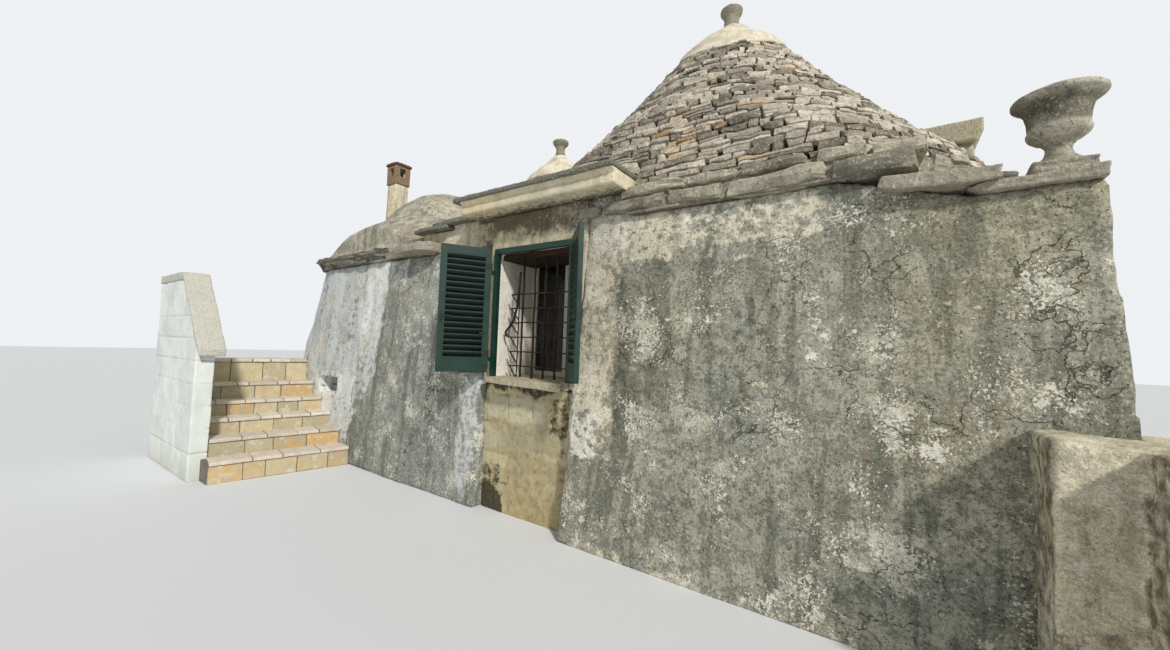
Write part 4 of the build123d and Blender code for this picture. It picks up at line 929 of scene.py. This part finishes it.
def main_roof():
    """The big cone with its eaves, cap and finial."""
    bay = in_box((-1.5, -0.2, 2.6), (0.49, 0.8, 3.09))
    ring = Ring("main_cone", MAIN_AXIS)

    def hidden(p):
        return bay(p) or (p.z > LIME_FRONT - 0.1 and p.z > lime_edge(p) + 0.01)

    cone_stones(ring, MAIN_CONE_Z, MAIN_COURSES, ((0.08, 0.3), (0.06, 0.18)), hidden, 11, 0.88, (
        ("main_cone_stones_yard", lambda p: abs(bearing(p)) <= 1.9, (4, 2, 3)),
        ("main_cone_stones_back", lambda p: abs(bearing(p)) > 1.9, (3, 2, 2)),
    ))
    core_of("main_cone_core", "main_cone", MAIN_AXIS)
    lime_skirt(ring)
    eaves = Ring("main_eave_course", MAIN_AXIS)
    pile = Pile((8, 4, 4), 21, (0.05, 0.05, 0.2), layered=0.8)

    def off_front(p):
        return bay(p) or (p.y < spot(0, 0.3, 0).y and spot(0.1, 0, 0).x < p.x < spot(2.3, 0, 0).x)

    lay_course(pile, eaves.at(2.79), (0.35, 0.8), 0.13, 0.35, proud=0.03, skip=off_front, jitter=0.015)
    lay_course(pile, eaves.at(2.87), (0.3, 0.7), 0.085, 0.35, proud=0.005, skip=off_front, jitter=0.015)
    front = [
        (0.25, 0.83, 2.71, 2.855, 0.118), (0.84, 1.3, 2.705, 2.85, 0.128), (1.31, 1.95, 2.705, 2.85, 0.122),
        (1.96, 2.41, 2.69, 2.835, 0.112), (-0.02, 0.24, 2.71, 2.845, 0.14), (0.42, 0.98, 2.845, 2.95, 0.145),
        (1.0, 1.38, 2.845, 2.945, 0.16), (1.40, 1.83, 2.84, 2.94, 0.15), (1.87, 2.15, 2.84, 2.94, 0.165),
        (2.17, 2.45, 2.825, 2.92, 0.18),
    ]
    for x0, x1, z0, z1, y in front:
        middle = spot((x0 + x1) / 2, y + 0.2, (z0 + z1) / 2)
        tilt = pile.dice.gauss(0.0, 0.012)
        along = Vector((1.0, 0.0, tilt)).normalized()
        pile.add(middle, along, Vector((0.0, -1.0, 0.0)), Vector((-tilt, 0.0, 1.0)), (x1 - x0, 0.4, z1 - z0),
                 rounding=0.3, rough=0.014, rust=0.2)
    pile.build("main_eave_stones", "eave")
    worn("main_cap_lime")
    worn("main_finial_stone")


def west_roofs():
    """Second cone, dome, ragged eaves, the thin slabs beside the bay, and the chimney."""
    bay = in_box((-2.4, -0.2, 2.6), (0.49, 0.9, 3.09))
    ring = Ring("second_cone", SECOND_AXIS)
    cone_stones(ring, SECOND_CONE_Z, SECOND_COURSES, ((0.1, 0.3), (0.07, 0.2)), bay, 31, 0.8, (
        ("second_cone_stones", lambda p: True, (3, 2, 2)),
    ))
    core_of("second_cone_core", "second_cone", SECOND_AXIS)
    for name in ("second_cap_lime", "second_finial_stone", "low_dome_plaster"):
        worn(name)
    deck = Ring("west_roof_deck", spot(-3.3, 2.4, 0.0))
    pile = Pile((6, 3, 3), 41, (0.12, 0.1, 0.25), layered=1.2)
    beside = in_box((EAVE_END, -0.2, 2.6), (0.49, 0.9, 3.09))
    lay_course(pile, deck.at(2.69), (0.12, 0.5), 0.062, 0.34, proud=0.024, skip=beside, jitter=0.022, gap=0.014,
               split=0.3)
    lay_course(pile, deck.at(2.765), (0.12, 0.45), 0.06, 0.34, proud=0.034, skip=beside, jitter=0.026, gap=0.014,
               split=0.3)
    pile.build("west_eave_stones", "slab")
    for name in ("bracket_stone", "side_masonry", "roof_slab_low", "roof_slab_high", "chimney_shaft", "chimney_head",
                 "chimney_cap"):
        worn(name + "_worn")


# CAD nodes that stay in sight, by their look
STEP_NODES = ["stair_step_%d" % k for k in range(1, 7)]
DRESSED = {
    "eave": ["main_eave_course"],
    "slab": ["main_roof_deck"],
    "boards": ["soffit_boards"],
    "green": ["shutter_frame", "shutter_left", "shutter_right", "street_door"],
    "white": ["casement_frame", "street_door_frame"],
    "glass": ["casement_glass"],
    "worn": ["street_threshold"],
    "mortar": STEP_NODES,
}


def dress():
    """Give the CAD nodes that stay in sight their materials."""
    for look, nodes in DRESSED.items():
        for node in nodes:
            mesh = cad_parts[node].data
            mesh.materials.clear()
            mesh.materials.append(LOOKS[look])


# Walls

# Patches on the south wall as (x0, x1, z0, z1, amount), and its cracks as runs of (x, z)
SOUTH_PALE = [
    (0.06, 0.4, 0.0, 0.7, 0.3), (0.06, 0.46, 0.7, 2.72, 0.52), (0.1, 0.4, 1.05, 1.5, 0.68),
    (0.06, 0.36, 1.9, 2.6, 0.66), (0.1, 0.9, 2.28, 2.8, 0.62), (0.8, 1.95, 2.36, 2.8, 0.5),
    (1.0, 1.55, 2.25, 2.5, 0.4), (1.84, 2.02, 1.5, 1.83, 0.45), (1.5, 1.66, 1.2, 1.45, 0.4),
    (2.15, 3.1, 1.25, 2.0, 0.22), (2.05, 2.5, 0.6, 0.66, 0.5), (2.05, 2.6, 0.42, 0.48, 0.5),
    (0.1, 3.1, -0.1, 0.08, 0.4),
]
SOUTH_WHITE = [
    (0.06, 0.34, 0.66, 1.08, 0.62), (0.12, 0.5, 2.35, 2.75, 0.5), (0.95, 1.75, 2.5, 2.75, 0.38),
    (1.84, 2.02, 1.55, 1.8, 0.42), (1.5, 1.62, 1.58, 1.75, 0.42), (0.1, 0.36, 1.3, 1.6, 0.45),
    (0.08, 0.3, 1.9, 2.3, 0.5),
]
SOUTH_WARM = [
    (1.46, 1.7, 1.12, 1.5, 0.42), (2.5, 2.8, 1.15, 1.42, 0.45), (0.08, 0.42, 1.5, 2.3, 0.45),
    (1.05, 1.7, 1.92, 2.24, 0.3), (1.75, 3.1, 0.95, 2.4, 0.34), (1.2, 1.9, 0.2, 0.5, 0.3),
]
# Dark patches; the one at the foot of the east end, x 2.45 to 3.1, is painted shadow of the corner pier
SOUTH_DARK = [
    (0.44, 0.62, 0.9, 2.05, 0.5), (0.55, 1.7, 0.4, 1.95, 0.22), (1.38, 1.62, 1.05, 2.05, 0.45),
    (1.0, 1.25, 1.4, 2.1, 0.36), (0.9, 1.35, 0.3, 0.9, 0.36), (1.62, 1.98, 2.0, 2.72, 0.25),
    (0.7, 0.95, 1.75, 2.3, 0.36), (2.45, 3.1, 0.0, 0.9, 0.3), (2.1, 2.45, 0.9, 1.3, 0.3),
    (0.5, 2.0, 0.0, 0.12, 0.2),
]
SOUTH_CRACKS = [
    [(1.66, 2.3), (1.7, 2.2), (1.67, 2.12), (1.74, 2.02)],
    [(2.0, 1.42), (2.2, 1.34), (2.34, 1.29), (2.52, 1.33), (2.82, 1.36)],
    [(2.02, 0.0), (2.14, 0.12), (2.24, 0.24), (2.38, 0.42)],
    [(0.62, 1.62), (0.84, 1.58), (1.0, 1.6)], [(1.5, 1.5), (1.66, 1.48), (1.7, 1.36), (1.66, 1.2), (1.44, 1.14)],
    [(2.9, 2.3), (2.98, 1.9), (3.02, 1.5)], [(2.2, 2.28), (2.26, 2.06), (2.34, 1.9)],
]
WEST_PALE = [
    (-2.85, -2.5, 1.55, 2.2, 0.3), (-2.5, -1.9, 1.5, 2.3, 0.36), (-1.42, -1.08, 0.1, 1.3, 0.55),
    (-1.9, -1.5, 0.3, 1.0, 0.3), (-2.9, -2.6, 2.3, 2.62, 0.55), (-2.2, -1.6, 2.3, 2.6, 0.5),
    (-2.95, -1.3, -0.1, 0.25, 0.3),
]
WEST_DARK = [
    (-2.05, -1.35, 0.85, 1.35, 0.4), (-2.6, -2.2, 0.9, 1.5, 0.25), (-3.0, -2.75, 1.0, 2.0, 0.3),
    (-1.7, -1.4, 0.3, 0.7, 0.25),
]
WEST_WASH = [(-4.5, -3.9, 0.45, 0.86, 0.9), (-4.6, -4.3, 0.86, 1.1, 0.7)]
WEST_CRACKS = [
    [(-1.62, 1.28), (-1.8, 1.05), (-1.95, 0.72), (-2.2, 0.36), (-2.42, 0.2)], [(-3.95, 0.85), (-3.7, 0.6)],
]
WEST_BRIGHT = [(-4.5, -3.5, 0.35, 1.15, 0.55), (-3.5, -3.06, 1.6, 2.6, 0.4)]
WASH_EDGE_X = -3.03

# How pale the other sides are, with the size and seed of their clouds
SIDES_PALE = {"back_plaster": (0.35, 0.9, 77), "east_plaster": (0.35, 0.9, 79), "gable_plaster": (0.4, 0.7, 82)}


def whitewash(points):
    """Share of the bluish wash left of its edge on the west block, with grey runs of rain in it."""
    x, _, z = (points - ORIGIN).T
    edge = WASH_EDGE_X - 0.62 * np.clip(1.2 - z, 0.0, 0.8) + 0.02 * lumps(points, 0.12, 85)
    inside = np.clip((edge - x) / 0.06 + 0.5, 0.0, 1.0)
    runs = lumps(points * np.array([1.0, 1.0, 0.16]), 0.16, 86)
    foot = np.clip((z - 0.1) / 0.4, 0.25, 1.0)
    return inside * (0.76 + 0.3 * runs) * foot


def walls():
    """Plastered masonry of the house."""
    south = worn("south_wall_plaster")
    points = mesh_points(south.data)
    mark(south, pale=patches(points, SOUTH_PALE, 72), white=patches(points, SOUTH_WHITE, 66),
         warm=patches(points, SOUTH_WARM, 73), dark=patches(points, SOUTH_DARK, 67),
         crack=cracks(points, SOUTH_CRACKS, 68, 0.22))
    west = worn("left_front_plaster")
    points = mesh_points(west.data)
    wash = np.maximum(whitewash(points), patches(points, WEST_WASH, 57))
    bright = patches(points, WEST_BRIGHT, 87, soft=0.2) * (wash > 0.2)
    # Inside the vent the wall is painted dark: painted shade in the hole
    in_vent = in_box((-4.47, 0.16, 0.84), (-3.93, 0.6, 1.09))
    vent_painted_shade = np.array([in_vent(p) for p in points])
    mark(west, pale=np.maximum(wash, patches(points, WEST_PALE, 75)),
         white=np.clip(wash, 0.0, 1.0) * 0.35 + bright,
         dark=np.maximum(patches(points, WEST_DARK, 88), 2.0 * vent_painted_shade), crack=cracks(points, WEST_CRACKS, 89, 0.2))
    for name in ("back_plaster", "east_plaster", "middle_wall_plaster", "gable_plaster", "gable_cornice_worn"):
        side = worn(name)
        if name in SIDES_PALE:
            pale, size, seed = SIDES_PALE[name]
            mark(side, pale=pale + 0.3 * lumps(mesh_points(side.data), size, seed))


# Courses of the infill's blocks, and its patches as (x0, x1, z0, z1, amount)
TUFO_COURSES = (-0.1, 0.27, 0.545, 0.84, 1.12, 1.4)
INFILL_SMEARED = [(-0.78, -0.05, 0.62, 0.9, 0.75), (-0.76, 0.1, 0.3, 0.66, 0.55), (-0.74, 0.1, 0.05, 0.35, 0.4)]
INFILL_PALE = [(-1.08, -0.25, 0.86, 1.12, 0.75), (-1.08, -0.8, 0.56, 0.84, 0.6)]
INFILL_BROWN = [(-0.78, 0.1, -0.1, 0.6, 0.75), (-1.08, -0.8, 0.3, 0.5, 0.35)]
# Dark blocks at the lower left, and painted shade under the sill and down the right edge beside the south wall
INFILL_DARK_AND_SHADE = [
    (-1.2, -0.79, -0.1, 0.24, 0.95), (-1.2, -0.82, 0.22, 0.44, 0.62), (-1.2, 0.1, 1.14, 1.3, 0.75),
    (-0.26, 0.1, 0.8, 1.2, 0.6), (-0.14, 0.1, 0.0, 0.8, 0.35),
]


def bay():
    """Window bay: block infill, plastered surround, sill, cornice, grille and shutter irons."""
    infill = worn("bay_infill_blocks")
    smeared = patches(mesh_points(infill.data), INFILL_SMEARED, 93)
    points = carve(infill, TUFO_COURSES, 0.36, 0.01, 0.014, 92, filled=np.clip(smeared * 1.4, 0.0, 1.0))
    # The last mark holds dark blocks, and painted shade under the sill and beside the south wall
    mark(infill, pale=smeared, white=patches(points, INFILL_PALE, 55), warm=patches(points, INFILL_BROWN, 56),
         dark_and_shade=patches(points, INFILL_DARK_AND_SHADE, 94))
    upper = worn("bay_upper_plaster")
    points = mesh_points(upper.data)
    x, y, z = (points - ORIGIN).T
    reveal = (y > 0.18) & (x > -0.99) & (x < -0.01) & (z > 1.2) & (z < 2.54)
    # Darker towards the cornice: grime, and painted shade under the cornice; the set-back face west of the bay is
    # painted darker as shade in its recess
    grime_and_painted_shade = np.clip((z - 2.56) / 0.2, 0.0, 1.0) * (y < 0.2) * (0.95 + 0.4 * lumps(points, 0.3, 58))
    grime_and_painted_shade = np.maximum(grime_and_painted_shade, 0.55 * (y > 0.2) * (x < -1.05))
    mark(upper, pale=np.where(reveal, 0.9, np.clip((2.62 - z) / 0.2, 0.0, 1.0) * 0.3), white=1.6 * reveal,
         dark=np.where(reveal, 0.0, grime_and_painted_shade))
    sill = worn("window_sill_worn")
    points = mesh_points(sill.data)
    share = np.clip(points[:, 0] - SOUTH_FOOT.x + 1.0, 0.0, 1.0)
    under = np.clip((points[:, 2].mean() - points[:, 2]) / 0.02 + 0.5, 0.0, 1.0)
    points[:, 2] += under * (0.016 - 0.024 * share)
    move_points(sill.data, points)
    band = worn("bay_cornice_band_worn")
    # The band's underside darker towards the wall: stains, and painted shade under the cornice
    deep = np.clip((mesh_points(band.data)[:, 1] - SOUTH_FOOT.y + 0.05) / 0.25, 0.0, 1.0)
    mark(band, dark=(mesh_points(band.data, "normal")[:, 2] < -0.5) * (0.15 + 0.75 * deep))
    worn("bay_cornice_slab_worn")
    grille()
    for side in LEAVES:
        leaf_irons(side)


# Grille in the reveal: plan y of its bars, rows and uprights, and the row ends that were bent down
GRILLE_Y = 0.257
GRILLE_ROWS = [1.4 + 0.142 * k for k in range(6)]
GRILLE_LEFT = -0.862
GRILLE_RIGHT = -0.04
GRILLE_UPRIGHTS = (-0.717, -0.566, -0.429, -0.288, -0.138)
GRILLE_FOOT = 1.28
GRILLE_HEAD = 2.47
BENT_BAR = [(-0.741, 2.33), (-0.753, 2.15), (-0.77, 1.98), (-0.812, 1.85), (-0.87, 1.78), (-0.918, 1.735),
            (-0.905, 1.7), (-0.868, 1.684)]


def grille():
    """Wrought bars of the window, rusty and partly bent."""
    dice = random.Random(131)
    runs = []
    for z in GRILLE_ROWS:
        steps = [GRILLE_LEFT + (GRILLE_RIGHT - GRILLE_LEFT) * k / 10 for k in range(11)]
        runs.append(([spot(x, GRILLE_Y - 0.006, z + dice.gauss(0.0, 0.0015)) for x in steps], 0.006))
        brace = [spot(GRILLE_LEFT, GRILLE_Y - 0.006, z), spot(GRILLE_LEFT + 0.097, GRILLE_Y - 0.002, z - 0.112)]
        runs.append((brace, 0.0045))
    stile = [spot(GRILLE_LEFT + 0.097, GRILLE_Y, GRILLE_FOOT), spot(GRILLE_LEFT + 0.1, GRILLE_Y, 2.13)]
    runs.append((stile, 0.0045))
    for x in GRILLE_UPRIGHTS:
        count = 12
        sway = [dice.gauss(0.0, 0.003) for _ in range(count + 1)]
        runs.append(([
            spot(x + sway[k], GRILLE_Y + 0.005, GRILLE_FOOT + (GRILLE_HEAD - GRILLE_FOOT) * k / count)
            for k in range(count + 1)
        ], 0.007))
    runs.append(([spot(x, GRILLE_Y - 0.02, z) for x, z in BENT_BAR], 0.008))
    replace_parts(rods("window_grille_wrought", runs, "iron"), "window_grille")


# Hinge of each leaf in the plan frame, the way it points from there and the way its inner face looks, in degrees
LEAVES = {"left": (-1.004, 0.094, -120.0, -30.0), "right": (0.004, 0.094, -46.0, -136.0)}


def leaf_irons(side):
    """Plates, latch and stay on the inner face of a shutter leaf."""
    x, y, along, inward = LEAVES[side]
    hinge = spot(x, y, 0.0)
    way = Vector((math.cos(math.radians(along)), math.sin(math.radians(along)), 0.0))
    face = Vector((math.cos(math.radians(inward)), math.sin(math.radians(inward)), 0.0))
    up = Vector((0.0, 0.0, 1.0))
    pile = Pile((2, 1, 2), 141)

    def plate(reach, z, wide, tall, thick, out=0.018):
        middle = hinge + way * reach + face * (out + thick / 2 - 0.001) + up * z
        pile.add(middle, way, face, up, (wide, thick, tall), rounding=0.2, rough=0.0006)

    for z in (1.51, 2.374):
        plate(0.04, z, 0.058, 0.07, 0.003)
        plate(0.04, z, 0.012, 0.012, 0.006)
    plate(0.462, 1.86, 0.022, 0.11, 0.006)
    plate(0.42, 1.865, 0.1, 0.012, 0.012)
    plate(0.462, 1.84, 0.016, 0.03, 0.022)
    plate(0.09, 1.71, 0.022, 0.03, 0.018)
    plate(0.06, 1.71, 0.05, 0.008, 0.008)
    plate(0.15, 1.326, 0.26, 0.009, 0.009, out=0.004)
    plate(0.32, 1.318, 0.09, 0.008, 0.008, out=0.004)
    pile.build("shutter_%s_irons" % side, "fitting", body="%s_shutter" % side)


# Tone of the urn's stone by share of its height: stains on the bowl, and painted shade under the rim
URN_HEIGHTS = (0.0, 0.3, 0.42, 0.5, 0.58, 0.8, 0.9, 1.0)
URN_SHADES = (0.6, 0.5, 0.8, 0.95, 0.25, -0.1, 0.8, 1.0)


def corner():
    """Slabs, pedestal and urn on the south-east corner, and the pier."""
    for name in ("corner_slab_west_worn", "corner_slab_east_worn", "urn_pedestal_worn"):
        worn(name)
    urn = worn("urn_stone")
    points = mesh_points(urn.data)
    up = (points[:, 2] - points[:, 2].min()) / (points[:, 2].max() - points[:, 2].min())
    shade = np.interp(up, URN_HEIGHTS, URN_SHADES)
    mark(urn, shade=np.clip(shade + 0.4 * lumps(points, 0.12, 107), 0.0, 1.0))
    pier = worn("corner_pier_worn")
    points = mesh_points(pier.data)
    # The west face, turned from the sun, is painted darker: painted shade
    west_face_painted_shade = np.clip(-mesh_points(pier.data, "normal")[:, 0] * 1.5 - 0.3, 0.0, 1.0)
    mark(pier, dark=np.maximum(0.6 * west_face_painted_shade, 0.3 + 0.4 * lumps(points, 0.5, 106)))


# Stair

STEP_SKEW = math.tan(math.radians(10.23))
TREAD_THICK = 0.036
NOSING = 0.018
BLOCK_COURSES = (-0.2, 0.3, 0.56, 0.81, 1.06, 1.31, 1.56, 1.81, 2.4)


def nosing(node):
    """Both ends of a step's front edge, at the height of its tread, and how much the step rises."""
    points = mesh_points(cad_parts[node].data)
    line = points[:, 0] - points[:, 1] * STEP_SKEW
    front = points[line > line.max() - 0.002]
    low = points[:, 2].min()
    high = points[:, 2].max()
    ends = (front[front[:, 1].argmin()], front[front[:, 1].argmax()])
    return Vector((ends[0][0], ends[0][1], high)), Vector((ends[1][0], ends[1][1], high)), high - low


def stair():
    """Tread slabs and riser tiles laid on the steps, and the white parapet with its coping."""
    treads = Pile((6, 3, 2), 111, (0.03, 0.02, 0.05))
    risers = Pile((4, 2, 4), 112, (0.02, 0.03, 0.02))
    up = Vector((0.0, 0.0, 1.0))
    for k, node in enumerate(STEP_NODES):
        start, end, rise = nosing(node)
        along = (end - start).normalized()
        out = Vector((along.y, -along.x, 0.0))
        reach = (end - start).length
        deep = 0.33 if k < len(STEP_NODES) - 1 else start.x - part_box(node)[0].x + 0.01
        tall = rise - TREAD_THICK
        for pile, counts, z, back, thick, size_z in (
            (treads, (4, 5, 6), start.z + 0.004 - TREAD_THICK / 2, 0.0, deep, TREAD_THICK + 0.006),
            (risers, (4, 5), start.z - TREAD_THICK - tall / 2, NOSING, 0.03, tall - 0.004),
        ):
            count = pile.dice.choice(counts)
            cuts = sorted(pile.dice.gauss((n + 1) / count, 0.14 / count) for n in range(count - 1))
            cuts = [0.0] + cuts + [1.0]
            for a, b in zip(cuts, cuts[1:]):
                middle = start + along * (reach * (a + b) / 2) - out * (back - 0.007 + thick / 2)
                middle.z = z
                size = (reach * (b - a) - 0.007, thick, size_z)
                pile.add(middle, along, out, up, size, rounding=0.12, rough=0.0022,
                         rust=pile.dice.random() ** (2.0 if k else 0.35))
    treads.build("tread_slabs", "tread")
    risers.build("riser_tiles", "riser")
    carve(worn("parapet_blocks"), BLOCK_COURSES, 0.42, 0.008, 0.012, 114)
    worn("parapet_coping_worn")


# Light and camera

def camera():
    """The photograph's view."""
    data = bpy.data.cameras.new("camera")
    data.sensor_fit = "HORIZONTAL"
    data.sensor_width = SENSOR
    data.lens = SENSOR * FOCAL_PIXELS / PHOTO_WIDE
    data.clip_start = 0.05
    obj = bpy.data.objects.new("camera", data)
    bpy.context.scene.collection.objects.link(obj)
    ahead = Vector((math.sin(YAW) * math.cos(PITCH), math.cos(YAW) * math.cos(PITCH), math.sin(PITCH)))
    right = Vector((math.cos(YAW), -math.sin(YAW), 0.0))
    above = right.cross(ahead)
    level = right * math.cos(ROLL) + above * math.sin(ROLL)
    upward = above * math.cos(ROLL) - right * math.sin(ROLL)
    turn = Matrix((level, upward, -ahead)).transposed()
    obj.matrix_world = Matrix.Translation(spot(*EYE)) @ turn.to_4x4()
    bpy.context.scene.camera = obj


def studio():
    """Pale floor, soft sun and a plain sky that shows as a pale backdrop."""
    bpy.ops.mesh.primitive_plane_add(size=120.0, location=(0.0, 0.0, -0.001))
    floor = bpy.context.object
    floor.name = "floor"
    look = Look("floor_paint", (0, 0, 0), roughness=0.95, specular=0.1)
    look.paint = FLOOR + (1.0,)
    floor.data.materials.append(look.finish(grain=0.0))
    sun = bpy.data.objects.new("sun", bpy.data.lights.new("sun", "SUN"))
    sun.data.energy = SUN_STRENGTH
    sun.data.angle = SUN_ANGLE
    sun.data.color = SUN_COLOUR
    sun.rotation_mode = "QUATERNION"
    sun.rotation_quaternion = Vector(SUN_FROM).to_track_quat("Z", "Y")
    bpy.context.scene.collection.objects.link(sun)
    world = bpy.data.worlds.new("sky")
    bpy.context.scene.world = world
    world.use_nodes = True
    tree = world.node_tree
    tree.nodes.clear()
    output = tree.nodes.new("ShaderNodeOutputWorld")
    choice = tree.nodes.new("ShaderNodeMixShader")
    rays = tree.nodes.new("ShaderNodeLightPath").outputs
    seen = rays["Is Camera Ray"]
    for kind in ("Is Glossy Ray", "Is Transmission Ray"):
        either = tree.nodes.new("ShaderNodeMath")
        either.operation = "MAXIMUM"
        tree.links.new(seen, either.inputs[0])
        tree.links.new(rays[kind], either.inputs[1])
        seen = either.outputs[0]
    tree.links.new(seen, choice.inputs[0])
    for socket, colour, strength in ((1, SKY_COLOUR, SKY_STRENGTH), (2, BACKDROP, 1.0)):
        light = tree.nodes.new("ShaderNodeBackground")
        light.inputs["Color"].default_value = colour + (1.0,)
        light.inputs["Strength"].default_value = strength
        tree.links.new(light.outputs[0], choice.inputs[socket])
    tree.links.new(choice.outputs[0], output.inputs[0])
    bpy.context.scene.view_settings.view_transform = "Standard"


main_roof()
west_roofs()
walls()
bay()
corner()
stair()
dress()
camera()
studio()
